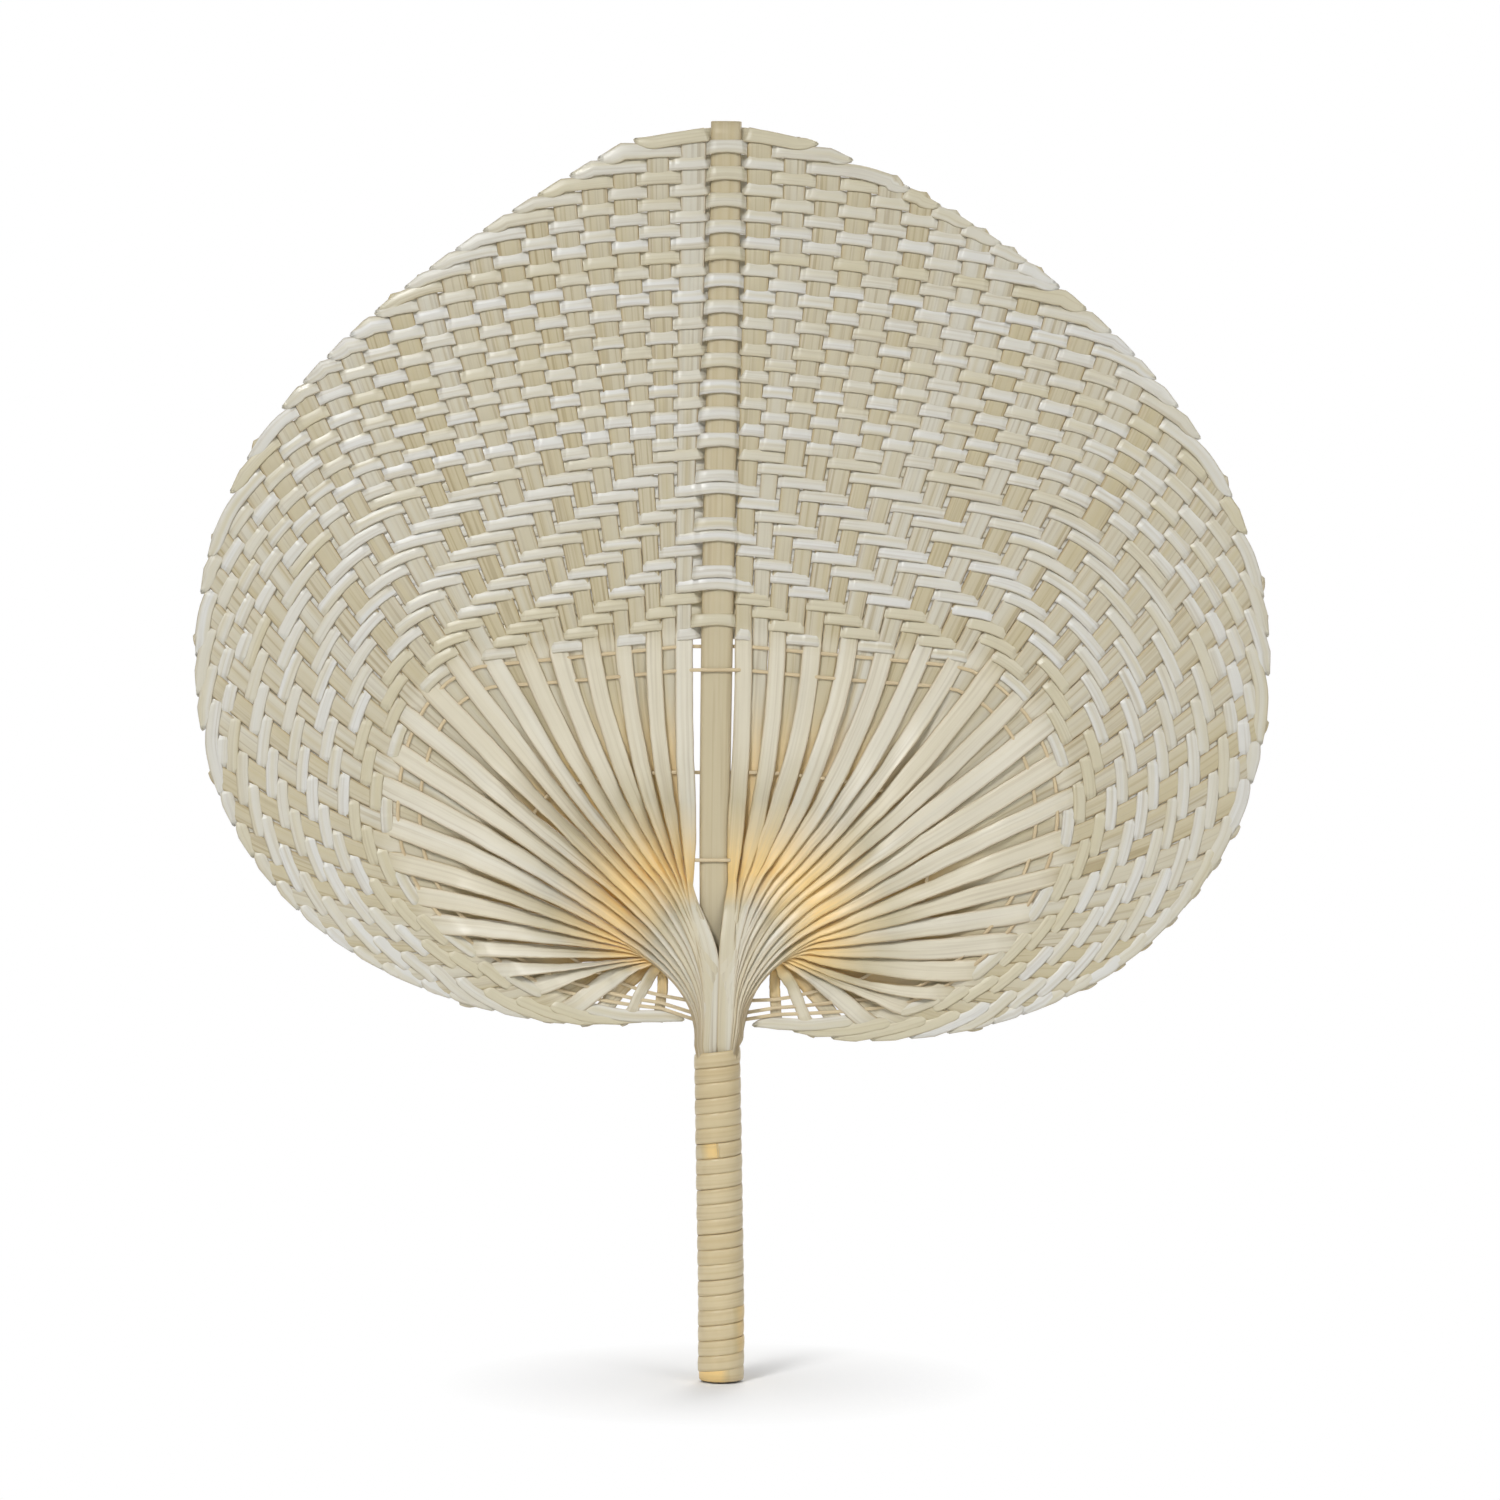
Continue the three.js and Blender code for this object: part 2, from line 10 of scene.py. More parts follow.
# %% Load the packed model
import math
import bpy
import numpy as np
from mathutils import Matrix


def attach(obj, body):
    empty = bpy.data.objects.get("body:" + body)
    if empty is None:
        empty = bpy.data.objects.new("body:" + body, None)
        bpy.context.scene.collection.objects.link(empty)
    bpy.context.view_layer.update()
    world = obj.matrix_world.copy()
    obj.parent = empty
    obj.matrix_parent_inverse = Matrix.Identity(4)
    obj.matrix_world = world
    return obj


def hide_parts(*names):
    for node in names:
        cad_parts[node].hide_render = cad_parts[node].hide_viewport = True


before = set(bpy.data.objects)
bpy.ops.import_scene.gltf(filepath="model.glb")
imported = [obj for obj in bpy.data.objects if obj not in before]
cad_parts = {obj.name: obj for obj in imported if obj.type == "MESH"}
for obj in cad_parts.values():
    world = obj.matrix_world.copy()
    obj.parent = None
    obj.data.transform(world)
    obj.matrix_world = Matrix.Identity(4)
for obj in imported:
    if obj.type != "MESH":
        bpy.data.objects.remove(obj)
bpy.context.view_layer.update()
print("solids in the frame:", len(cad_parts))

# %% [markdown]
# ## Lines to measure along
#
# Most shapes of the fan are smooth lines: the rim, the inner edge of the weave, and the route of each
# strip. A line is made from Bezier curves and kept as many short steps with the distance to each step,
# so that a place can be asked for by its distance along the line. Sizes are in millimetres up to the
# last moment, when a mesh is made, because they are easier to read.

# %% A line that knows its own length
MM = 0.001
CURVE_STEPS = 160
HEADING_REACH = 0.2


def bezier(start, pull_out, pull_in, end):
    t = np.linspace(0.0, 1.0, CURVE_STEPS)[:, None]
    a, b, c, d = (np.asarray(point, float) for point in (start, pull_out, pull_in, end))
    return (1 - t) ** 3 * a + 3 * (1 - t) ** 2 * t * b + 3 * (1 - t) * t ** 2 * c + t ** 3 * d


class Line:
    def __init__(self, *curves):
        self.points = np.vstack(curves)
        steps = np.hypot(*np.diff(self.points, axis=0).T)
        self.reach = np.concatenate([[0.0], np.cumsum(steps)])
        self.length = self.reach[-1]

    def place(self, distance):
        out = np.interp(distance, self.reach, self.points[:, 0])
        up = np.interp(distance, self.reach, self.points[:, 1])
        return np.stack([out, up], axis=-1)

    def heading(self, distance):
        middle = np.clip(distance, HEADING_REACH, self.length - HEADING_REACH)
        way = self.place(middle + HEADING_REACH) - self.place(middle - HEADING_REACH)
        return way / np.linalg.norm(way, axis=-1, keepdims=True)


def smooth(value):
    value = np.clip(value, 0.0, 1.0)
    return value * value * (3 - 2 * value)


def leaning(angle):
    return np.array([math.sin(angle), math.cos(angle)])


def eased(start, start_lean, end, end_lean):
    pull = np.hypot(*(end - start)) / 3
    return Line(bezier(start, start + leaning(start_lean) * pull, end - leaning(end_lean) * pull, end))


test_line = Line(bezier((0, 0), (1, 0), (2, 0), (3, 0)))
print("a straight test line of 3 mm measures", round(test_line.length, 3), "mm")

# %% [markdown]
# ## Ring and rim
#
# The weave begins at an inner edge, here called the ring, and ends at the rim. The blade was shaped by
# hand, so its two halves differ by a few millimetres. Each half is described in its own plane, as the
# distance out from the middle and the height above the butt of the handle. A table of named sizes for
# each half keeps the two outlines comparable, and the same curves are then drawn through both.

# %% Sizes of the two halves
RING_TOP = 212.0
RIM_TOP = 358.0
RING_SHOULDER = (66.0, 205.5)
RING_WIDEST_HEIGHT = 163.0
RIM_SHOULDER = (26.0, 355.4)
HALVES = {
    "left": dict(
        sign=-1, half_width=150.1, ring_half_width=93.0, widest=205.7, shoulder_pull=(87.4, 50.9),
        pull_up=60.8, pull_down=91.7, foot=(40.0, 101.5), foot_pull=13.9, lean_in=0.0,
        ring_run=190.3, rim_run=364.7, rib_turn=0.85,
        ring_low=(56.6, 115.5), ring_low_pull=(15.0, 9.0), ring_end=(8.0, 104.6), rim_end=(9.0, 102.4),
    ),
    "right": dict(
        sign=1, half_width=157.9, ring_half_width=98.0, widest=205.0, shoulder_pull=(85.5, 37.3),
        pull_up=59.5, pull_down=65.6, foot=(40.0, 96.7), foot_pull=69.0, lean_in=1.8,
        ring_run=201.0, rim_run=382.4, rib_turn=0.55,
        ring_low=(56.0, 108.0), ring_low_pull=(16.0, 5.0), ring_end=(7.5, 103.0), rim_end=(8.7, 100.8),
    ),
}
print("half widths in mm:", {side: half["half_width"] for side, half in HALVES.items()})

# %% [markdown]
# ## Drawing ring and rim
#
# Ring and rim have four curves each: a top that is nearly level, a shoulder, a flank that falls to the
# foot, and a short end beside the neck. At the widest place the line stands upright. A traced outline
# would need many points, and these few pulls are easier to change.

# %% Draw ring and rim
RING_SHOULDER_PULL = 18.0
RING_PULL_UP = 20.0
RING_PULL_DOWN = 27.0
RING_LOW_EASE = 0.8
RING_END_PULL = (15.0, 0.5)
RIM_FOOT_PULL = (11.0, 0.0)


def straight(start, end):
    start, end = np.asarray(start, float), np.asarray(end, float)
    return bezier(start, start + (end - start) / 3, start + (end - start) * 2 / 3, end)


def ring_of(half):
    shoulder = np.array(RING_SHOULDER)
    slope = (RING_TOP - shoulder[1]) / shoulder[0]
    shoulder_pull = (RING_SHOULDER_PULL, -RING_SHOULDER_PULL * slope)
    widest = np.array([half["ring_half_width"], RING_WIDEST_HEIGHT])
    low, pull, end = (np.array(half[name]) for name in ("ring_low", "ring_low_pull", "ring_end"))
    return Line(
        straight((0, RING_TOP), shoulder),
        bezier(shoulder, shoulder + shoulder_pull, widest + (0, RING_PULL_UP), widest),
        bezier(widest, widest - (0, RING_PULL_DOWN), low + pull, low),
        bezier(low, low - pull * RING_LOW_EASE, end + RING_END_PULL, end),
    )


def rim_of(half):
    shoulder = np.array(RIM_SHOULDER)
    widest = np.array([half["half_width"], half["widest"]])
    foot, end = np.array(half["foot"]), np.array(half["rim_end"])
    out, drop = half["shoulder_pull"]
    return Line(
        straight((0, RIM_TOP), shoulder),
        bezier(shoulder, shoulder + (out, -drop), widest + (0, half["pull_up"]), widest),
        bezier(widest, widest - (0, half["pull_down"]), foot + (half["foot_pull"], 0), foot),
        bezier(foot, foot - RIM_FOOT_PULL, end + RIM_FOOT_PULL, end),
    )


for side, half in HALVES.items():
    half["ring"] = ring_of(half)
    half["rim"] = rim_of(half)
    print(side, "ring", round(half["ring"].length, 1), "mm, rim", round(half["rim"].length, 1), "mm")

# %% [markdown]
# ## Where the warp strips spread
#
# Forty-two strips a side leave the handle. Most of them fan out, and the last seven turn down beside the
# neck as the foot of the blade. A fan strip's share, from nought at the spine to about one at the foot,
# says where it leaves the throat and where it meets ring and rim. The strips lie closer together
# towards the foot, so the share grows more slowly there. Next to the spine they follow its slight sway.

# %% Places on throat, ring and rim
WARPS = 42
WARP_DENSITY = 29.0
WARP_CROWDING = 8.5
THROAT_CENTRE = np.array([14.0, 128.0])
THROAT_HALF_WIDTH = 14.5
THROAT_RISE = 17.5
THROAT_DROP = 8.5
THROAT_LEANS = (-29, 124, 73)
SPINE_HEIGHTS = (0.0, 24.0, 80.0, 148.0, 212.0, 357.0)
SPINE_OFFSETS = (0.6, 0.6, -0.3, -1.4, -0.6, 2.2)
SHARE_BESIDE_SPINE = 0.3
LEAN_IN_TOP = 330
LEAN_IN_RUN = 120
STRIPS_START = 9.5
RING_EVENLY = 0.65
RING_LOOSER = 0.35
RIM_BUNCHING = 0.06


def spine_sway(height):
    return np.interp(height, SPINE_HEIGHTS, SPINE_OFFSETS)


def share_of(warp):
    root = math.sqrt(WARP_DENSITY ** 2 + 4 * WARP_CROWDING * warp)
    return (root - WARP_DENSITY) / (2 * WARP_CROWDING)


def throat_of(share):
    first, growth, hurry = THROAT_LEANS
    turn = leaning(math.radians(first + growth * share + hurry * share ** 2))
    rise = THROAT_RISE if turn[1] > 0 else THROAT_DROP
    return THROAT_CENTRE + turn * (THROAT_HALF_WIDTH, rise)


def beside_spine(half, place, share):
    near = max(0.0, 1 - share / SHARE_BESIDE_SPINE)
    lean_in = half["lean_in"] * float(smooth((LEAN_IN_TOP - place[1]) / LEAN_IN_RUN))
    shift = half["sign"] * float(spine_sway(place[1])) - lean_in
    return place + np.array([shift * near, 0.0])


def fan_places(half, share):
    on_ring = STRIPS_START + half["ring_run"] * (RING_EVENLY * share + RING_LOOSER * share ** 2)
    on_rim = STRIPS_START + half["rim_run"] * (share - RIM_BUNCHING * math.sin(math.pi * share))
    return on_ring, on_rim


print("shares of every tenth strip:", [round(share_of(warp), 2) for warp in range(0, WARPS, 10)])

# %% [markdown]
# ## Route of each warp strip
#
# One strip after the other peels away from the bundle, stands at a slant at the throat, turns flat on
# its way to the ring, and then runs to the rim. Each route has three lines that meet with the same
# heading: bend, rib and blade. A route could be drawn by hand for every strip, but a rule with a few
# named sizes keeps the neighbours even, as the maker's fingers do.

# %% Bend, rib and blade of each strip
FOOT_STRIPS = 7
LAST_FAN = WARPS - FOOT_STRIPS - 1
FOOT_CROWDING = 1.2
FOOT_LEAN = math.radians(84)
LOWEST_LEAN = math.radians(92)
RIM_LEAN_POWER = 1.6
RING_LEFT_FREE = 9.0
RIM_LEFT_FREE = 8.0
THROAT_FOOT = np.array([16.0, 119.0])
NECK_FOOT = 98.0
NOTCH_RISE = 20.0
BUNDLE_HALF_WIDTH = 6.1
BUNDLE_HALF_DEPTH = 5.3
BUNDLE_WRAP = math.radians(78)
TAIL_WIDTH = 4.6
TAIL_LAP = 0.1
TAIL_TURN = 0.9
FIRST_WIDTH = 4.9
FAN_GAIN, FAN_GAIN_SHARE = 1.0, 0.55
FOOT_LOSS = 0.9
END_LOSS, END_LOSS_FROM, END_LOSS_RUN = 2.0, 0.55, 0.45


def strip_width(share, foot):
    return (FIRST_WIDTH + FAN_GAIN * float(smooth(share / FAN_GAIN_SHARE)) - FOOT_LOSS * foot
            - END_LOSS * float(smooth((foot - END_LOSS_FROM) / END_LOSS_RUN)))


def plan_warp(half, warp):
    foot = max(0.0, (warp - LAST_FAN) / FOOT_STRIPS)
    crowded = foot ** FOOT_CROWDING
    share = share_of(min(warp, LAST_FAN))
    ring, rim = half["ring"], half["rim"]
    ring_at, rim_at = fan_places(half, share)
    ring_at = ring_at + (ring.length - RING_LEFT_FREE - ring_at) * crowded
    rim_at = rim_at + (rim.length - RIM_LEFT_FREE - rim_at) * foot
    on_ring = beside_spine(half, ring.place(ring_at), share)
    on_rim = beside_spine(half, rim.place(rim_at), share)
    ring_lean = LOWEST_LEAN * float(smooth(share)) + FOOT_LEAN * crowded
    rim_lean = LOWEST_LEAN * share ** RIM_LEAN_POWER + FOOT_LEAN * crowded
    throat = beside_spine(half, throat_of(share), share)
    throat = throat + (THROAT_FOOT - throat) * foot
    chord = on_ring - throat
    throat_lean = 2 * math.atan2(chord[0], chord[1]) - ring_lean
    order = warp / (WARPS - 1)
    wrap = BUNDLE_WRAP * order
    tail = np.array([max(TAIL_WIDTH / 2 - TAIL_LAP, BUNDLE_HALF_WIDTH * math.sin(wrap)),
                     NECK_FOOT + NOTCH_RISE * (1 - order) ** 3])
    return dict(
        warp=warp, share=share, foot=foot, deck=-1 if warp % 2 == 0 else 1,
        tail_out=tail[0], tail_turn=wrap * TAIL_TURN, tail_depth=BUNDLE_HALF_DEPTH * math.cos(wrap),
        width=strip_width(share, foot),
        bend=eased(tail, 0.0, throat, throat_lean),
        rib=eased(throat, throat_lean, on_ring, ring_lean),
        blade=eased(on_ring, ring_lean, on_rim, rim_lean),
    )


for side, half in HALVES.items():
    half["warps"] = [plan_warp(half, warp) for warp in range(WARPS)]
    longest = max(route["blade"].length for route in half["warps"])
    print(side, "half:", WARPS, "warp strips, longest blade run", round(longest), "mm")

# %% [markdown]
# ## Room between neighbours
#
# A strip may be wider than the room beside its neighbours. In the open ribs it then stands at a slant,
# like the slat of a blind, and in the blade it is cut narrower. So each strip is asked how far away its
# two neighbours are, at the same share of a rib or at the same distance along the blade.

# %% Distance to the neighbouring strips
def room(half, warp, part, along):
    own = half["warps"][warp][part]
    stretch = own.length if part == "rib" else 1.0
    way = own.heading(along * stretch)
    gaps = []
    for neighbour in (warp - 1, warp + 1):
        if 0 <= neighbour < WARPS:
            line = half["warps"][neighbour][part]
            gap = line.place(along * (line.length if part == "rib" else 1.0)) - own.place(along * stretch)
            gaps.append(np.abs(gap[..., 0] * way[..., 1] - gap[..., 1] * way[..., 0]))
    return np.minimum(gaps[0], gaps[-1]) if part == "rib" else (gaps[0] + gaps[-1]) / 2


for warp in (0, 12, 24, 36):
    near = room(HALVES["left"], warp, "rib", np.array([0.0, 0.5, 1.0]))
    print("left strip", warp, "room at throat, half way and ring:", np.round(near, 1), "mm")

# %% [markdown]
# ## The weaving rule
#
# The sixteen wefts next to the ring are a twill: each passes over two strips and under two, one strip
# further on than the weft before it. The wefts above them are a plain weave, over one and under one, and
# lie a little wider apart. The places are counted from the spine, which is place nought. A weft lies in
# front of the last strip that it meets, and the last weft on a strip lies in front of it, so every warp
# strip ends unseen behind a weft.

# %% Which strip lies in front
WEFTS = 40
TWILL_WEFTS = 16
FIRST_WEFT = 2.3
TWILL_PITCH = 3.43
PLAIN_PITCH = 3.81
STRIP_LEFT_OVER = 0.2
weft_order = np.arange(WEFTS)
WEFT_AT = (FIRST_WEFT + TWILL_PITCH * np.minimum(weft_order, TWILL_WEFTS)
           + PLAIN_PITCH * np.maximum(weft_order - TWILL_WEFTS, 0))


def last_warp(half, weft):
    needed = WEFT_AT[weft] + STRIP_LEFT_OVER
    return max(route["warp"] for route in half["warps"] if route["blade"].length > needed)


def last_weft(half, warp):
    return max((weft for weft in range(WEFTS) if half["last"][weft] >= warp), default=-1)


def by_rule(place, weft):
    if weft < TWILL_WEFTS:
        return (place + weft) % 4 < 2
    return (place + weft) % 2 == 0


def weft_in_front(half, warp, weft):
    return warp == half["last"][weft] or weft == half["final"][warp] or by_rule(warp + 1, weft)


for side, half in HALVES.items():
    half["last"] = [last_warp(half, weft) for weft in range(WEFTS)]
    half["final"] = [last_weft(half, warp) for warp in range(WARPS)]
    print(side, "last strip crossed by every sixth weft:", half["last"][::6])

# %% [markdown]
# ## A bench for node trees
#
# Shapes, finishes, floor and surroundings are all node trees. Adding a node takes three things: its
# kind, its settings, and what goes into its sockets, which is either a value or another node's output.
# A small bench does these in one call, so that the trees below read like sums.

# %% Add and wire up nodes
class NodeBench:
    def __init__(self, tree):
        self.nodes, self.links = tree.nodes, tree.links

    def put(self, socket, value):
        if hasattr(value, "is_output"):
            self.links.new(value, socket)
        else:
            socket.default_value = value

    def add(self, kind, inputs, **settings):
        node = self.nodes.new(kind)
        for setting, value in settings.items():
            setattr(node, setting, value)
        for socket, value in inputs.items():
            self.put(node.inputs[socket], value)
        return node

    def calc(self, operation, a, b=0.0):
        return self.add("ShaderNodeMath", {0: a, 1: b}, operation=operation).outputs[0]

    def vector(self, operation, inputs):
        return self.add("ShaderNodeVectorMath", inputs, operation=operation).outputs[0]

    def length(self, vector):
        return self.add("ShaderNodeVectorMath", {0: vector}, operation="LENGTH").outputs["Value"]

    def ranged(self, value, low, high, start=0.0, end=1.0):
        limits = {"Value": value, "From Min": low, "From Max": high, "To Min": start, "To Max": end}
        return self.add("ShaderNodeMapRange", limits).outputs[0]


print("bench tools:", [tool for tool in vars(NodeBench) if not tool.startswith("_")])

# %% [markdown]
# ## The skin of a strip
#
# Every strip has the same make: a thin slat with soft edges that follows a path, bends and turns. That
# is a rule, so it is a Geometry Nodes tree. It reads a row of stations, vertices that carry the half
# width (across), the thickness (down) and the crown (bow) as vectors, and lays a grid over them. The
# short way round the grid becomes a super-ellipse, a rectangle with round edges. Waves that should be
# nought at the edges are snapped, so that both ends of a ring of points fall on one spot.

# %% Lay a grid over the stations
COLUMNS = 12
SIDE_SOFTNESS = 0.7
EDGE_SOFTNESS = 0.3
SNAP = 0.0001


class StripBench(NodeBench):
    def __init__(self, tree):
        super().__init__(tree)
        self.entry = self.add("NodeGroupInput", {}).outputs
        self.station = None

    def carried(self, name, kind="FLOAT"):
        return self.add("GeometryNodeInputNamedAttribute", {"Name": name}, data_type=kind).outputs[0]

    def at_station(self, value, kind="FLOAT"):
        inputs = {"Geometry": self.entry["Stations"], "Value": value, "Index": self.station}
        return self.add("GeometryNodeSampleIndex", inputs, data_type=kind).outputs[0]

    def softened(self, operation, turn, power):
        wave = self.calc("SNAP", self.calc("ADD", self.calc(operation, turn), SNAP / 2), SNAP)
        size = self.calc("POWER", self.calc("ABSOLUTE", wave), power)
        return self.calc("MULTIPLY", self.calc("SIGN", wave), size)

    def scaled(self, vector, scale):
        return self.vector("SCALE", {0: vector, "Scale": scale})

    def total(self, a, b):
        return self.vector("ADD", {0: a, 1: b})


def lay_skin(bench):
    entry = bench.entry
    count = bench.add("GeometryNodeAttributeDomainSize", {0: entry["Stations"]})
    around = bench.calc("ADD", entry["Columns"], 1.0)
    grid = bench.add("GeometryNodeMeshGrid",
                     {"Vertices X": count.outputs["Point Count"], "Vertices Y": around})
    index = bench.add("GeometryNodeInputIndex", {}).outputs[0]
    bench.station = bench.calc("FLOOR", bench.calc("DIVIDE", bench.calc("ADD", index, 0.5), around))
    column = bench.calc("SUBTRACT", index, bench.calc("MULTIPLY", bench.station, around))
    turn = bench.calc("DIVIDE", bench.calc("MULTIPLY", column, 2 * math.pi), entry["Columns"])
    u = bench.softened("COSINE", turn, SIDE_SOFTNESS)
    v = bench.softened("SINE", turn, entry["Edge Softness"])
    position = bench.add("GeometryNodeInputPosition", {}).outputs[0]
    middle = bench.at_station(position, "FLOAT_VECTOR")
    across, down, bow = (bench.at_station(bench.carried(name, "FLOAT_VECTOR"), "FLOAT_VECTOR")
                         for name in ("across", "down", "bow"))
    flat = bench.total(middle, bench.scaled(across, u))
    thick = bench.total(flat, bench.scaled(down, bench.calc("MULTIPLY", v, -0.5)))
    crowned = bench.total(thick, bench.scaled(bow, bench.calc("MULTIPLY", u, u)))
    moved = bench.add("GeometryNodeSetPosition", {"Geometry": grid.outputs["Mesh"], "Position": crowned})
    return moved.outputs[0], u, bench.calc("MULTIPLY", u, bench.length(across))


print("points round a strip:", COLUMNS)

# %% [markdown]
# ## Marks for the finish, and loose strips
#
# The finish has to know where it is on a strip. So the tree stores a chart, in metres along and across,
# the strip's tone, its value for age and painted light and shade, and how near the edge a point is. A
# strip's number is stored too: a face whose number lies between two whole ones joins two strips, and is
# deleted. A weld closes the seam, and the tree ends in real faces with their material.

# %% Build the strip tree
BETWEEN_STRIPS = 0.01
WELD = 0.000001


def store(bench, shape, name, value, kind="FLOAT", domain="POINT"):
    inputs = {"Geometry": shape, "Name": name, "Value": value}
    return bench.add("GeometryNodeStoreNamedAttribute", inputs, data_type=kind, domain=domain).outputs[0]


def mark_skin(bench, shape, u, sideways):
    along = bench.at_station(bench.carried("along"))
    chart = bench.add("ShaderNodeCombineXYZ", {0: along, 1: sideways}).outputs[0]
    by_point = bench.add("GeometryNodeFieldOnDomain", {}, data_type="FLOAT_VECTOR", domain="POINT")
    bench.put(by_point.inputs[0], chart)
    shape = store(bench, shape, "UVMap", by_point.outputs[0], "FLOAT2", "CORNER")
    # the age value also carries painted light and painted warm shade
    for name in ("tone", "age"):
        shape = store(bench, shape, name, bench.at_station(bench.carried(name)))
    shape = store(bench, shape, "edge", bench.calc("ABSOLUTE", u))
    return store(bench, shape, "number", bench.at_station(bench.carried("strip")))


def make_strip_tree():
    tree = bpy.data.node_groups.new("split bamboo strip", "GeometryNodeTree")
    inputs = {}
    for name, kind in (("Stations", "Geometry"), ("Columns", "Int"), ("Edge Softness", "Float"),
                       ("Finish", "Material")):
        inputs[name] = tree.interface.new_socket(name, in_out="INPUT", socket_type="NodeSocket" + kind)
    tree.interface.new_socket("Strips", in_out="OUTPUT", socket_type="NodeSocketGeometry")
    inputs["Columns"].default_value = COLUMNS
    inputs["Edge Softness"].default_value = EDGE_SOFTNESS
    bench = StripBench(tree)
    shape = mark_skin(bench, *lay_skin(bench))
    between = bench.calc("PINGPONG", bench.carried("number"), 0.5)
    bridge = {"Geometry": shape, "Selection": bench.calc("GREATER_THAN", between, BETWEEN_STRIPS)}
    loose = bench.add("GeometryNodeDeleteGeometry", bridge, domain="FACE").outputs[0]
    closed = bench.add("GeometryNodeMergeByDistance", {"Geometry": loose, "Distance": WELD}).outputs[0]
    shaded = bench.add("GeometryNodeSetShadeSmooth", {0: closed}).outputs[0]
    real = bench.add("GeometryNodeRealizeInstances", {0: shaded}).outputs[0]
    painted = bench.add("GeometryNodeSetMaterial", {"Geometry": real, "Material": bench.entry["Finish"]})
    bench.add("NodeGroupOutput", {0: painted.outputs[0]})
    return tree, {name: socket.identifier for name, socket in inputs.items()}


strip_tree, strip_inputs = make_strip_tree()
print("strip tree has", len(strip_tree.nodes), "nodes")

# %% [markdown]
# ## Colours, marks and noise
#
# A finish is mixed from a few colours, the marks that the strip tree has stored, and a noise that is
# stretched along the strip. Colours are written as a screen shows them, from 0 to 255, and turned into
# the linear light that Blender works with. Three of them serve all finishes. Gold is where a hand has
# aged the handle strip, and it is also painted warm shade at the throat and on the rear ribs. Pale is
# where the sun has bleached the bamboo, and it is also painted light on the neck and the front ribs.
# Brown is at the cut edges, and it is also painted shade in the grooves between strips.

# %% Colours and a bench for finishes
def colour(red, green, blue):
    def linear(value):
        value /= 255
        return value / 12.92 if value <= 0.04045 else ((value + 0.055) / 1.055) ** 2.4
    return (linear(red), linear(green), linear(blue), 1.0)


# gold: hand-worn colour on the handle strip, and painted warm shade at the throat and on the rear ribs
GOLD_AND_WARM_SHADE = colour(242, 204, 128)
# pale: sun-bleached skin, and painted light on the neck and the front ribs
PALE_BLEACH_AND_LIGHT = colour(231, 225, 207)
# brown: the cut edges, and painted shade in the grooves between strips
CUT_EDGE_AND_SHADE = colour(166, 134, 80)


class FinishBench(NodeBench):
    def carried(self, attribute, output="Fac"):
        node = self.add("ShaderNodeAttribute", {}, attribute_name=attribute)
        return node.outputs[output]

    def noise(self, chart, scale, detail):
        stretched = self.add("ShaderNodeMapping", {"Vector": chart, "Scale": scale}).outputs[0]
        inputs = {"Vector": stretched, "Scale": 1.0, "Detail": detail}
        return self.add("ShaderNodeTexNoise", inputs).outputs["Fac"]

    def mixed(self, factor, first, second):
        return self.add("ShaderNodeMix", {0: factor, 6: first, 7: second}, data_type="RGBA").outputs[2]


print("golden bamboo in linear light:", [round(value, 2) for value in GOLD_AND_WARM_SHADE[:3]])

# %% [markdown]
# ## One recipe for bamboo
#
# Split bamboo has long fine fibres, a satin skin and edges that go brown where the knife has opened
# them. The same brown at the edges also paints the shade in the grooves between strips. The fibres follow
# the strip, so the material reads the strip's own chart and stretches a noise along it. Each strip
# carries a tone, because no two strips come from the same side of the cane, and a value along its length
# for age and painted light and shade. Below nought the strip is paler, from sun bleach and from painted
# light.
# Above nought it is golden, from hand wear and from painted warm shade. The fibres also roughen the skin
# and raise it a little.

# %% Bamboo recipe
OWN_SHIFT = (7.0, 3.0, 5.0)
FIBRES = dict(scale=(22.0, 1150.0, 1.0), detail=2.0)
BUNDLES = dict(scale=(9.0, 430.0, 1.0), detail=1.0)
SLITS = dict(scale=(14.0, 900.0, 1.0), detail=0.0)
FIBRE_HEIGHT = 0.00015
FIBRE_RELIEF = 0.4
TONE_STRENGTH = 0.85
STREAK_RANGE, STREAK_STRENGTH = (0.42, 0.75), 0.8
LINE_RANGE = (0.5, 0.8)
SLIT_RANGE = (0.68, 0.73)
RUB_RANGE, RUB_STRENGTH = (0.35, 0.75), 0.35
WORN_AND_SHADE_RANGE = (0.75, 1.0)
SATIN_RANGE = (0.3, 0.7)
SMOOTHER, ROUGHER = 0.07, 0.09


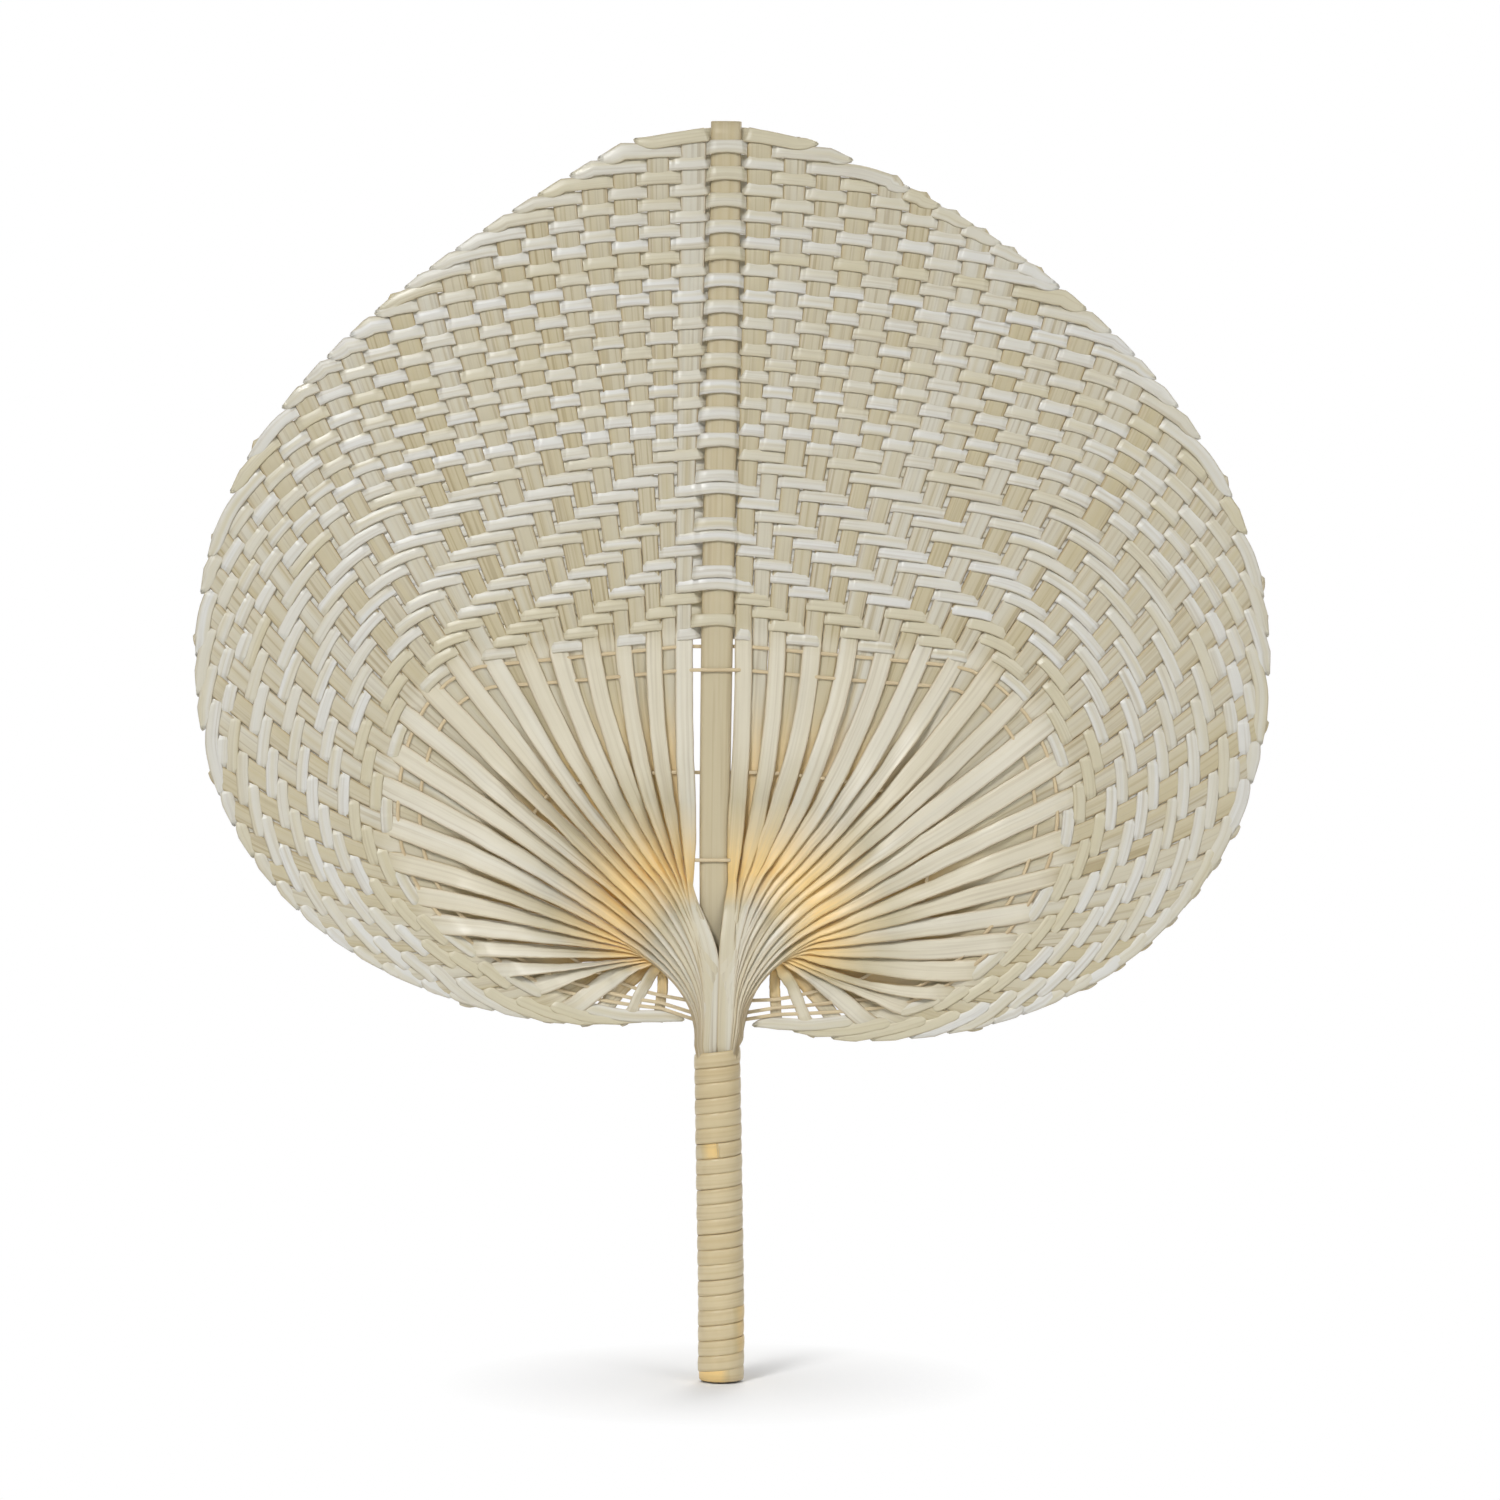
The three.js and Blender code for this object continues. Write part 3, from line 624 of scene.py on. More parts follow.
def bamboo(name, pale, warm, cut, roughness, fibre_contrast=0.5, edge_wear_and_shade=0.3, slits=0.0):
    material = bpy.data.materials.new(name)
    material.use_nodes = True
    bench = FinishBench(material.node_tree)
    shader = bench.nodes["Principled BSDF"]
    tone, edge, age = bench.carried("tone"), bench.carried("edge"), bench.carried("age")
    chart = bench.add("ShaderNodeUVMap", {}, uv_map="UVMap").outputs[0]
    own = bench.vector("MULTIPLY_ADD", {0: bench.carried("tone", "Vector"), 1: OWN_SHIFT, 2: chart})
    fibres = bench.noise(own, **FIBRES)
    bundles = bench.noise(own, **BUNDLES)
    by_tone = bench.mixed(bench.ranged(tone, 0.0, 1.0, 0.0, TONE_STRENGTH), pale, warm)
    streaked = bench.mixed(bench.ranged(bundles, *STREAK_RANGE, 0.0, STREAK_STRENGTH), by_tone, warm)
    lined = bench.mixed(bench.ranged(fibres, *LINE_RANGE, 0.0, fibre_contrast), streaked, cut)
    if slits:
        split = bench.noise(own, **SLITS)
        lined = bench.mixed(bench.ranged(split, *SLIT_RANGE, 0.0, slits), lined, cut)
    # paler below nought: sun bleach, and painted light on the neck and the front ribs
    bleached_and_lit = bench.mixed(bench.ranged(age, 0.0, -1.0), lined, PALE_BLEACH_AND_LIGHT)
    # golden above nought: hand wear, and painted warm shade at the throat and on the rear ribs
    aged = bench.mixed(bench.ranged(age, 0.0, 1.0), bleached_and_lit, GOLD_AND_WARM_SHADE)
    rubbed = bench.mixed(bench.ranged(fibres, *RUB_RANGE, 0.0, RUB_STRENGTH), aged, lined)
    # brown at the edges: the knife's cut, and painted shade in the grooves between strips
    worn_and_shaded = bench.mixed(bench.ranged(edge, *WORN_AND_SHADE_RANGE, 0.0, edge_wear_and_shade), rubbed, CUT_EDGE_AND_SHADE)
    satin = bench.ranged(fibres, *SATIN_RANGE, roughness - SMOOTHER, roughness + ROUGHER)
    relief = {"Strength": FIBRE_RELIEF, "Distance": FIBRE_HEIGHT, "Height": fibres}
    bench.put(shader.inputs["Base Color"], worn_and_shaded)
    bench.put(shader.inputs["Roughness"], satin)
    bench.put(shader.inputs["Normal"], bench.add("ShaderNodeBump", relief).outputs[0])
    return material


print("fibres, bundles and slits in a metre:", [noise["scale"][1] for noise in (FIBRES, BUNDLES, SLITS)])

# %% [markdown]
# ## Five finishes
#
# The wefts are cut from the pale, shiny outside of the cane and the warp strips from the beige layer
# below it, which shows slits. The spine is a tan slat, the ties are brown sticks, and the handle strip
# has turned golden in the hand. One recipe with other colours makes them all look like one plant.

# %% Mix the finishes
FINISHES = {
    "band": bamboo("pale weft skin", colour(214, 213, 207), colour(200, 191, 160),
                   colour(150, 130, 88), 0.34, fibre_contrast=0.36),
    # the warp strips get the most edge brown, which also paints the shade in the rib grooves
    "splint": bamboo("beige warp skin", colour(206, 202, 187), colour(191, 179, 144),
                     colour(134, 110, 64), 0.40, fibre_contrast=0.38, edge_wear_and_shade=0.5, slits=0.32),
    "spine": bamboo("tan spine slat", colour(200, 190, 162), colour(190, 175, 138),
                    colour(150, 124, 84), 0.45, fibre_contrast=0.35),
    "tie": bamboo("brown tie stick", colour(212, 198, 166), colour(200, 178, 138),
                  colour(140, 104, 66), 0.55, edge_wear_and_shade=0.1),
    "binding": bamboo("golden handle strip", colour(207, 191, 152), colour(193, 171, 122),
                      colour(148, 118, 74), 0.38, fibre_contrast=0.35),
}
print("finishes:", ", ".join(material.name for material in FINISHES.values()))

# %% [markdown]
# ## Strips as rows of stations
#
# A strip is written as rows of numbers: its middle, the way its face looks, half its width, its
# thickness, its crown, and how far its edges lag behind the middle where it folds. The heading comes
# from the middle points, and the width lies square to heading and face. One more station of no width at
# each end closes the strip.

# %% Write down strips
VECTOR_COLUMNS = {"across": 3, "down": 6, "bow": 9}
NUMBER_COLUMNS = {"along": 12, "strip": 13, "tone": 14, "age": 15}


class Strips:
    def __init__(self):
        self.rows = []

    def add(self, middle, face, half_width, thickness, crown, tone, age=0.0, lag=0.0):
        count = len(middle)
        face = np.broadcast_to(face, (count, 3))

        def column(value):
            return np.broadcast_to(value, count)[:, None]

        side_way = np.cross(np.gradient(middle, axis=0), face)
        side_way /= np.linalg.norm(side_way, axis=1, keepdims=True)
        bow = -face * crown + lag
        steps = np.linalg.norm(np.diff(middle, axis=0), axis=1)
        along = np.concatenate([[0.0], np.cumsum(steps)])[:, None]
        row = np.hstack([
            middle * MM, side_way * column(half_width) * MM, -face * column(thickness) * MM, bow * MM,
            along * MM, column(float(len(self.rows))), column(tone), column(age),
        ])
        ends = row[[0, -1]].copy()
        ends[:, VECTOR_COLUMNS["across"]:NUMBER_COLUMNS["along"]] = 0.0
        self.rows.append(np.vstack([ends[:1], row, ends[1:]]))


print("numbers in a station:", 1 + NUMBER_COLUMNS["age"])

# %% [markdown]
# ## From stations to a piece
#
# The strips that stand for one solid become one piece. The stations go into a mesh without faces, the
# tree makes the skin, and the result is kept as a plain mesh, so nothing is left to be worked out later.
# The piece then rides on the frame, replaces its solid and takes its finish.

# %% Make a piece
def station_mesh(name, rows):
    mesh = bpy.data.meshes.new(name)
    mesh.vertices.add(len(rows))
    mesh.vertices.foreach_set("co", rows[:, 0:3].astype(np.float32).ravel())
    for attribute, start in VECTOR_COLUMNS.items():
        layer = mesh.attributes.new(attribute, "FLOAT_VECTOR", "POINT")
        layer.data.foreach_set("vector", rows[:, start:start + 3].astype(np.float32).ravel())
    for attribute, column in NUMBER_COLUMNS.items():
        layer = mesh.attributes.new(attribute, "FLOAT", "POINT")
        layer.data.foreach_set("value", rows[:, column].astype(np.float32))
    return mesh


def make_piece(name, strips, node, slot):
    mesh = station_mesh(name, np.vstack(strips.rows))
    piece = bpy.data.objects.new(name, mesh)
    bpy.context.scene.collection.objects.link(piece)
    modifier = piece.modifiers.new("strips", "NODES")
    modifier.node_group = strip_tree
    modifier[strip_inputs["Columns"]] = COLUMNS
    modifier[strip_inputs["Edge Softness"]] = EDGE_SOFTNESS
    modifier[strip_inputs["Finish"]] = FINISHES[slot]
    evaluated = piece.evaluated_get(bpy.context.evaluated_depsgraph_get())
    piece.data = bpy.data.meshes.new_from_object(evaluated)
    piece.data.name = name
    piece.modifiers.clear()
    bpy.data.meshes.remove(mesh)
    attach(piece, "root")
    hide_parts(node)
    return piece


def faces_in(pieces):
    return sum(len(piece.data.polygons) for piece in pieces)


print("pieces take their finish from:", list(FINISHES))

# %% [markdown]
# ## Warp strips in the weave
#
# Even strips lie before the middle of the fan and odd ones behind it, in two decks, so a tie can pass
# between them. At the ring the decks meet, and the strips lie side by side. From there on a strip steps
# back where a weft is in front of it and forward where the weft is behind.

# %% Depth and width in the weave
WARP_CRIMP = 0.12
DECK_DEPTH = 0.5
DECKS_MEET_BEFORE = 2.0
DECKS_MEET_RUN = 6.0
STEP_FROM, STEP_RUN = 0.25, 0.5
WEAVE_BEFORE_RING, WEAVE_RUN_IN = 1.0, 2.0
LOOSE_FIT, LOOSE_WIDEST = 0.84, 6.9
TIGHT_FIT = 0.95


def decks_apart(past_ring):
    return 1 - smooth((past_ring + DECKS_MEET_BEFORE) / DECKS_MEET_RUN)


def deck_depth(route, past_ring):
    return route["deck"] * DECK_DEPTH * decks_apart(past_ring)


def crossing_state(half, warp, distance):
    states = np.array([1.0 if weft_in_front(half, warp, weft) else -1.0 for weft in range(WEFTS)])
    place = np.interp(distance, WEFT_AT, weft_order)
    before = np.minimum(place.astype(int), WEFTS - 2)
    part = smooth((place - before - STEP_FROM) / STEP_RUN)
    state = states[before] * (1 - part) + states[before + 1] * part
    return state * smooth((distance + WEAVE_BEFORE_RING) / WEAVE_RUN_IN)


def woven_width(half, warp, distance):
    pitch = room(half, warp, "blade", distance)
    own_width = np.minimum(half["warps"][warp]["width"], TIGHT_FIT * pitch)
    return np.maximum(np.minimum(LOOSE_FIT * pitch, LOOSE_WIDEST), own_width)


print("tenth left strip, width near ring and rim:",
      np.round(woven_width(HALVES["left"], 9, np.array([10.0, 120.0])), 1), "mm")

# %% [markdown]
# ## Age, painted light and shade along a strip
#
# Where the strips are bent at the throat, warm shade is painted on them as gold, and the gold fades along
# the ribs. The neck below it is painted paler, as light. Out on the ribs the front deck is painted paler,
# as the light on it, and the rear deck is painted golden for longer, as the warm shade it lies in. All
# this is one number along the strip, which the finish turns into colour.

# %% Pale and golden stretches
# tail and start of the bend are painted paler: painted light on the neck, where the turned strips get
# less light
TAIL_PAINTED_LIGHT = -0.2
BEND_PAINTED_LIGHT = -0.3
# end of the bend, the throat and the first part of the ribs are painted golden: painted warm shade
# between the bent strips
BEND_SHADE_FROM, BEND_SHADE_RUN = 0.55, 0.4
THROAT_WARM_SHADE, THROAT_WARM_SHADE_RUN = 0.62, 17.0
RIB_WARM_SHADE, RIB_WARM_SHADE_RUN = 0.3, 48.0
# front deck of the ribs is painted paler: painted light on the lit front ribs
FRONT_RIB_LIGHT, FRONT_RIB_LIGHT_FROM, FRONT_RIB_LIGHT_RUN = 0.6, 12.0, 30.0
# rear deck of the ribs is painted golden: painted warm shade on the rear ribs behind the front ones
REAR_RIB_SHADE, REAR_RIB_SHADE_RUN_IN, REAR_RIB_SHADE_END, REAR_RIB_SHADE_RUN_OUT = 0.5, 15.0, 30.0, 28.0
RING_AGE, RING_AGE_RUN = -0.45, 6.0


# paler at the neck as painted light, golden towards the throat as painted warm shade
def bend_age(share):
    return BEND_PAINTED_LIGHT + smooth((share - BEND_SHADE_FROM) / BEND_SHADE_RUN)


# golden near the throat as painted warm shade; front deck paler as painted light, rear deck golden as
# painted shade
def rib_age(distance, deck):
    # painted warm shade near the throat, fading along the rib
    golden = (THROAT_WARM_SHADE * (1 - smooth(distance / THROAT_WARM_SHADE_RUN))
              + RIB_WARM_SHADE * (1 - smooth(distance / RIB_WARM_SHADE_RUN)))
    if deck < 0:
        return golden - FRONT_RIB_LIGHT * smooth((distance - FRONT_RIB_LIGHT_FROM) / FRONT_RIB_LIGHT_RUN)
    # rear deck: painted warm shade
    return golden + (REAR_RIB_SHADE * smooth(distance / REAR_RIB_SHADE_RUN_IN)
                     * (1 - smooth((distance - REAR_RIB_SHADE_END) / REAR_RIB_SHADE_RUN_OUT)))


def blade_age(distance):
    return RING_AGE * (1 - smooth(distance / RING_AGE_RUN))


print("age 0, 20 and 50 mm up a front rib:", np.round(rib_age(np.array([0.0, 20.0, 50.0]), -1), 2))

# %% [markdown]
# ## A warp strip in handle and throat
#
# A warp strip lies round the spine in the handle, as its tail, and peels away from it in a bend. Each
# stretch of a strip is worked out on its own, as places, depths, turns, widths, thicknesses and ages,
# and the stretches are joined in the end. A bend starts with what the tail has and ends with what the
# rib needs, so the joint doesn't show.

# %% Tail and bend of a warp strip
TAIL_THICKNESS, BEND_GAIN = 0.2, 0.1
TAIL_INSIDE = np.array([0.78, 0.78, 0.8, 0.94])
TAIL_HEIGHTS = np.array([0.6, 60.0, 90.0, 96.0])
BEND_STATIONS = 16
BEND_TURN_FROM, BEND_TURN_RUN = 0.45, 0.55


def joined(*stretches):
    full = [(places, *(np.broadcast_to(value, len(places)) for value in values))
            for places, *values in stretches]
    return tuple(np.concatenate(column) for column in zip(*full))


def tail_stretch(half, route):
    out = route["tail_out"] * TAIL_INSIDE + half["sign"] * spine_sway(TAIL_HEIGHTS)
    depth = route["deck"] * route["tail_depth"] * TAIL_INSIDE
    return (np.stack([out, TAIL_HEIGHTS], axis=1), depth, route["tail_turn"],
            TAIL_WIDTH * TAIL_INSIDE ** 2, TAIL_THICKNESS, TAIL_PAINTED_LIGHT)


def bend_stretch(route, rib_depth, rib_turn, rib_width):
    share = np.linspace(0.0, 1.0, BEND_STATIONS + 1)[:-1]
    opened = smooth(share)
    turned = smooth((share - BEND_TURN_FROM) / BEND_TURN_RUN)
    depth = route["deck"] * (route["tail_depth"] + (abs(rib_depth) - route["tail_depth"]) * opened
                             + np.sin(np.pi * share))
    return (route["bend"].place(share * route["bend"].length), depth,
            route["tail_turn"] + (rib_turn - route["tail_turn"]) * turned,
            TAIL_WIDTH + (rib_width - TAIL_WIDTH) * opened,
            TAIL_THICKNESS + BEND_GAIN * opened, bend_age(share))


print("stations in tail and bend:", len(TAIL_HEIGHTS) + BEND_STATIONS)

# %% [markdown]
# ## A warp strip in rib and blade
#
# On its rib a strip stands at a slant, with its face turned up and towards the spine, less so on the
# right half. The less room it has, the steeper it stands. In the blade it lies flat and ends behind its
# last weft, a little narrower.

# %% Rib and blade of a warp strip
WARP_THICKNESS = 0.34
SPINE_FACE = 1.2
RIB_STATIONS = 27
RIB_OPENING = 1.75
RIB_LEAST_FIT = 0.06
RIB_FLAT_FROM, RIB_FLAT_RUN = 0.9, 0.1
SHORT_RIB = 60
LAST_WEFT_LAP = 0.6
STATIONS_A_WEFT = 4
SETTLED_WIDTH_AT = 7.0
END_AT, END_WIDTHS = (0.0, 1.5, 3.0), (0.4, 0.8, 1.0)


def rib_stretch(half, route):
    rib, width = route["rib"], route["width"]
    share = np.linspace(0.0, 1.0, RIB_STATIONS)[:-1]
    opening = RIB_OPENING * room(half, route["warp"], "rib", share) / width
    fits = np.clip(opening, RIB_LEAST_FIT, 1.0) ** 0.5
    turn = half["rib_turn"] * np.arccos(fits) * (1 - smooth((share - RIB_FLAT_FROM) / RIB_FLAT_RUN))
    rib_width = width * fits
    base = SPINE_FACE + (DECK_DEPTH - SPINE_FACE) * smooth(share)
    apart = decks_apart((share - 1.0) * rib.length)
    depth = route["deck"] * (base * apart + rib_width / 2 * np.sin(turn))
    reach = share * rib.length / min(1.0, rib.length / SHORT_RIB)
    return (rib.place(share * rib.length), depth, turn, rib_width, WARP_THICKNESS,
            rib_age(reach, route["deck"]))


def blade_stretch(half, route):
    warp, width = route["warp"], route["width"]
    final = half["final"][warp]
    end = 1.0 if final < 0 else min(WEFT_AT[final] + LAST_WEFT_LAP, route["blade"].length)
    distance = np.linspace(0.0, end, int(end / PLAIN_PITCH * STATIONS_A_WEFT) + 2)
    depth = deck_depth(route, distance) + WARP_CRIMP * crossing_state(half, warp, distance)
    wide = width + (woven_width(half, warp, distance) - width) * smooth(distance / SETTLED_WIDTH_AT)
    wide = wide * np.interp(end - distance, END_AT, END_WIDTHS)
    return route["blade"].place(distance), depth, 0.0, wide, WARP_THICKNESS, blade_age(distance)


def warp_path(half, route):
    rib = rib_stretch(half, route)
    bend = bend_stretch(route, rib[1][0], rib[2][0], rib[3][0])
    return joined(tail_stretch(half, route), bend, rib, blade_stretch(half, route))


print("stations of the first left strip:", len(warp_path(HALVES["left"], HALVES["left"]["warps"][0])[0]))

# %% [markdown]
# ## Make the warp strips
#
# No split strip is quite straight or even. Each one wobbles sideways and turns a little along its rib,
# has a width of its own and a tone of its own, all drawn from one seeded source, so that every run gives
# the same fan. About three neighbours stand for one solid.

# %% Make the warp strips
FRONT = np.array([0.0, -1.0, 0.0])
SEED = 11
SPLINTS = 14
SPLINTS_A_SHARE = 13.5
FIRST_SPLINT_SHIFT = 0.25
FOOT_SHARE = 0.08
WOBBLE_AFTER, WOBBLE_BEFORE = 12, 44
SIDE_WOBBLE, SIDE_WOBBLE_SPAN = 0.4, 9
TURN_WOBBLE, TURN_WOBBLE_SPAN = 0.4, 7
WARP_UNEVENNESS = 0.09
WARP_CROWN = 0.16
rng = np.random.default_rng(SEED)


def wobble(in_rib, span):
    return np.convolve(in_rib * rng.normal(0.0, 1.0, len(in_rib)), np.ones(span) / span, "same")


def add_warp(strips, half, route):
    flat, depth, turn, wide, thick, age = warp_path(half, route)
    middle = np.stack([half["sign"] * flat[:, 0], depth, flat[:, 1]], axis=1)
    way = np.gradient(middle, axis=0)
    way[:, 1] = 0.0
    way /= np.linalg.norm(way, axis=1, keepdims=True)
    out = np.stack([way[:, 2], np.zeros(len(way)), -way[:, 0]], axis=1) * half["sign"]
    station = np.arange(len(flat))
    in_rib = (station > WOBBLE_AFTER) & (station < WOBBLE_BEFORE)
    middle = middle + out * (wobble(in_rib, SIDE_WOBBLE_SPAN) * SIDE_WOBBLE)[:, None]
    turn = turn + TURN_WOBBLE * wobble(in_rib, TURN_WOBBLE_SPAN)
    face = FRONT * np.cos(turn)[:, None] - out * np.sin(turn)[:, None]
    own_width = 1 + WARP_UNEVENNESS * rng.uniform(-1, 1)
    strips.add(middle, face, wide * own_width / 2, thick, WARP_CROWN, rng.uniform(0.0, 1.0), age)


def splint_of(route):
    reach = route["share"] + FOOT_SHARE * route["foot"]
    return min(SPLINTS - 1, max(0, round(SPLINTS_A_SHARE * reach - FIRST_SPLINT_SHIFT)))


splint_pieces = []
for side, half in HALVES.items():
    for splint in range(SPLINTS):
        strips = Strips()
        for route in half["warps"]:
            if splint_of(route) == splint:
                add_warp(strips, half, route)
        node = f"{side}_splint_{splint + 1:02d}"
        splint_pieces.append(make_piece(node + "_strips", strips, node, "splint"))
print("warp pieces:", len(splint_pieces), "faces:", faces_in(splint_pieces))

# %% [markdown]
# ## Spine
#
# The spine is a slat of thicker cane from the butt to just above the rim. It isn't quite straight: it
# sways by a millimetre or two, as the real one does. Its top end is cut square. A box would give its
# size, but as a strip of the same tree it gets the sway, the soft edges and the fibres as well.

# %% Make the spine
SPINE_HALF_WIDTH = 4.5
SPINE_THICKNESS = 2.0
SPINE_TOP = 360.0
SPINE_STATIONS = 91
SWAY_SPAN = 13
SPINE_CROWN = 0.3
SPINE_RIPPLE, SPINE_RIPPLE_RUN = 0.12, 31
SPINE_TONE = 0.45

heights = np.linspace(0.0, SPINE_TOP, SPINE_STATIONS)
padded_sway = np.pad(spine_sway(heights), SWAY_SPAN // 2, "edge")
sway = np.convolve(padded_sway, np.ones(SWAY_SPAN) / SWAY_SPAN, "valid")
spine_strip = Strips()
spine_strip.add(
    np.stack([sway, np.zeros(SPINE_STATIONS), heights], axis=1), FRONT,
    SPINE_HALF_WIDTH + SPINE_RIPPLE * np.sin(heights / SPINE_RIPPLE_RUN),
    SPINE_THICKNESS, SPINE_CROWN, SPINE_TONE,
)
spine_piece = make_piece("spine_slat_cane", spine_strip, "spine_slat", "spine")
print("spine faces:", faces_in([spine_piece]))

# %% [markdown]
# ## Crossings of a weft
#
# A weft is a row of crossings: the warp strips of the left half, the spine, and those of the right half.
# At each one it has a place, a depth, the half width of what it crosses, that strip's heading, and a
# state, in front or behind. Near the rim the last crossing is pulled out or in, so that the weft just
# reaches the rim, and the spare room makes the strip wider there.

# %% List the crossings
WEFT_DEPTH = 0.34
CROSSING_MARGIN = 0.1
SPINE_GAP = 0.35
SPINE_MARGIN = 0.25
RIM_MARGIN = 0.1
MOST_PULL = 1.5


def near_rim(half, place, beyond=0.0):
    rim, mirror = half["rim"], (half["sign"], 1)
    nearest = np.argmin(np.hypot(*(rim.points - place * mirror).T))
    along = rim.reach[nearest] + np.asarray(beyond)
    way = rim.heading(along)
    outwards = np.stack([-way[..., 1], way[..., 0]], axis=-1)
    return rim.place(along) * mirror, outwards * mirror


def pulled_to_rim(half, place, pitch):
    on_rim, outwards = near_rim(half, place)
    spare = float(np.dot(on_rim - place, outwards)) - RIM_MARGIN - pitch / 2
    shift = np.clip(spare, -MOST_PULL, 0.0) + np.clip(spare, 0.0, MOST_PULL) / 2
    return place + outwards * shift, np.clip(spare, 0.0, MOST_PULL) / pitch


def half_crossings(half, weft):
    crossings = []
    distance = WEFT_AT[weft]
    for warp in range(half["last"][weft] + 1):
        route = half["warps"][warp]
        place = route["blade"].place(distance) * (half["sign"], 1)
        way = route["blade"].heading(distance) * (half["sign"], 1)
        state = 1 if weft_in_front(half, warp, weft) else -1
        depth = float(deck_depth(route, np.array(distance))) - WEFT_DEPTH * state
        edge = float(woven_width(half, warp, distance)) / 2 + CROSSING_MARGIN
        crossings.append((*place, depth, edge, *way, state))
    return crossings


def weft_crossings(weft, pitch):
    height = RING_TOP + WEFT_AT[weft]
    state = 1 if weft > 0 and by_rule(0, weft) else -1
    over_spine = (float(spine_sway(height)), height, -state * (SPINE_THICKNESS / 2 + SPINE_GAP),
                  SPINE_HALF_WIDTH + SPINE_MARGIN, 0.0, 1.0, state)
    left = half_crossings(HALVES["left"], weft)
    rows = np.array(left[::-1] + [over_spine] + half_crossings(HALVES["right"], weft))
    rows[0, :2], left_spare = pulled_to_rim(HALVES["left"], rows[0, :2], pitch)
    rows[-1, :2], right_spare = pulled_to_rim(HALVES["right"], rows[-1, :2], pitch)
    return rows, len(left), (left_spare, right_spare)


tenth_wefts = range(0, WEFTS, 10)
print("crossings of every tenth weft:",
      [len(weft_crossings(weft, PLAIN_PITCH)[0]) for weft in tenth_wefts])

# %% [markdown]
# ## From one crossing to the next
#
# Between two crossings a weft stays flat until the edge of the warp strip and then dives to the next
# depth. The line through the crossings is a smooth spline, because split bamboo bends without kinks. A
# dive that would be too short is put in the middle, so the strip is never torn.

# %% Curves and dives
DIVE = 1.6
LEAST_LEAVE, MOST_REACH, LEAST_DIVE = 0.2, 0.8, 0.15
SHORT_DIVE_MIDDLE, SHORT_DIVE_HALF = (0.3, 0.7), 0.1


def curve_between(points, at, part):
    first, second = points[at], points[at + 1]
    before = points[at - 1] if at > 0 else 2 * first - second
    after = points[at + 2] if at + 2 < len(points) else 2 * second - first
    t = part[:, None]
    bend = 2 * before - 5 * first + 4 * second - after
    twist = 3 * first - before - 3 * second + after
    return 0.5 * (2 * first + (second - before) * t + bend * t ** 2 + twist * t ** 3)


def dive_between(first_edge, second_edge, first_state, second_state, span):
    leave, reach = first_edge / span, 1 - second_edge / span
    if first_state > second_state:
        leave = max(LEAST_LEAVE, reach - DIVE / span)
    elif second_state > first_state:
        reach = min(MOST_REACH, leave + DIVE / span)
    if reach - leave < LEAST_DIVE:
        centre = np.clip((leave + reach) / 2, *SHORT_DIVE_MIDDLE)
        leave, reach = centre - SHORT_DIVE_HALF, centre + SHORT_DIVE_HALF
    return leave, reach


print("a dive over 6 mm starts and ends at:", np.round(dive_between(2.0, 2.0, 1, -1, 6.0), 2))

# %% [markdown]
# ## Path of a weft
#
# Where a weft lies in front, it keeps its full width, and where it dives or lies behind, it is narrower,
# the more so the more slanted the crossing is. That gives the pale leaf shapes of the real weave. Over
# two strips in a row it floats a little higher.

# %% Follow the crossings
FLAT_PART = 0.6
DIVE_PARTS = (0.33, 0.67)
FLOAT_RISE = 0.12
TAPER_EARLY, TAPER_LATE = 0.18, 0.36
WIDER_AT_SPINE = 1.06
WIDER_THAN_PITCH = 1.03
WIDER_IN_DIVE = 0.06
MOST_SQUEEZE = 0.62


def weft_path(weft):
    pitch = TWILL_PITCH if weft < TWILL_WEFTS else PLAIN_PITCH
    rows, left_count, spare = weft_crossings(weft, pitch)
    points, depths, edges, states = rows[:, :2], rows[:, 2], rows[:, 3], rows[:, 6]
    middles, widths = [], []
    for at in range(len(rows) - 1):
        way = points[at + 1] - points[at]
        span = np.linalg.norm(way)
        way = way / span
        leave, reach = dive_between(edges[at], edges[at + 1], states[at], states[at + 1], span)
        dive = [leave + (reach - leave) * step for step in DIVE_PARTS]
        part = np.array([0.0, leave * FLAT_PART, leave, *dive, reach, 1 - (1 - reach) * FLAT_PART])
        change = smooth((part - leave) / (reach - leave))
        depth = depths[at] + (depths[at + 1] - depths[at]) * change
        if states[at] == states[at + 1]:
            depth = depth - states[at] * FLOAT_RISE * np.sin(np.pi * part)
        taper = smooth((part - leave + TAPER_EARLY) / (reach - leave + TAPER_LATE))
        state = states[at] + (states[at + 1] - states[at]) * taper
        flat = curve_between(points, at, part)
        middles.append(np.stack([flat[:, 0], depth, flat[:, 1]], axis=1))
        near_spine = WIDER_AT_SPINE if at in (left_count - 1, left_count) else 1.0
        full = WIDER_THAN_PITCH + WIDER_IN_DIVE * (1 - state ** 2)
        swell = 1 + (at == 0) * spare[0] * (1 - part) + (at == len(rows) - 2) * spare[1] * part
        slant = abs(way[0] * rows[at, 5] - way[1] * rows[at, 4])
        hidden = max(slant, MOST_SQUEEZE)
        shown = hidden + (1 - hidden) * smooth(np.clip(state, 0.0, 1.0))
        widths.append(pitch * shown * full * near_spine * swell)
    middles.append(np.array([[points[-1, 0], depths[-1], points[-1, 1]]]))
    widths.append(widths[-1][-1:])
    return np.vstack(middles), np.concatenate(widths), rows


print("stations of every tenth weft:", [len(weft_path(weft)[0]) for weft in tenth_wefts])

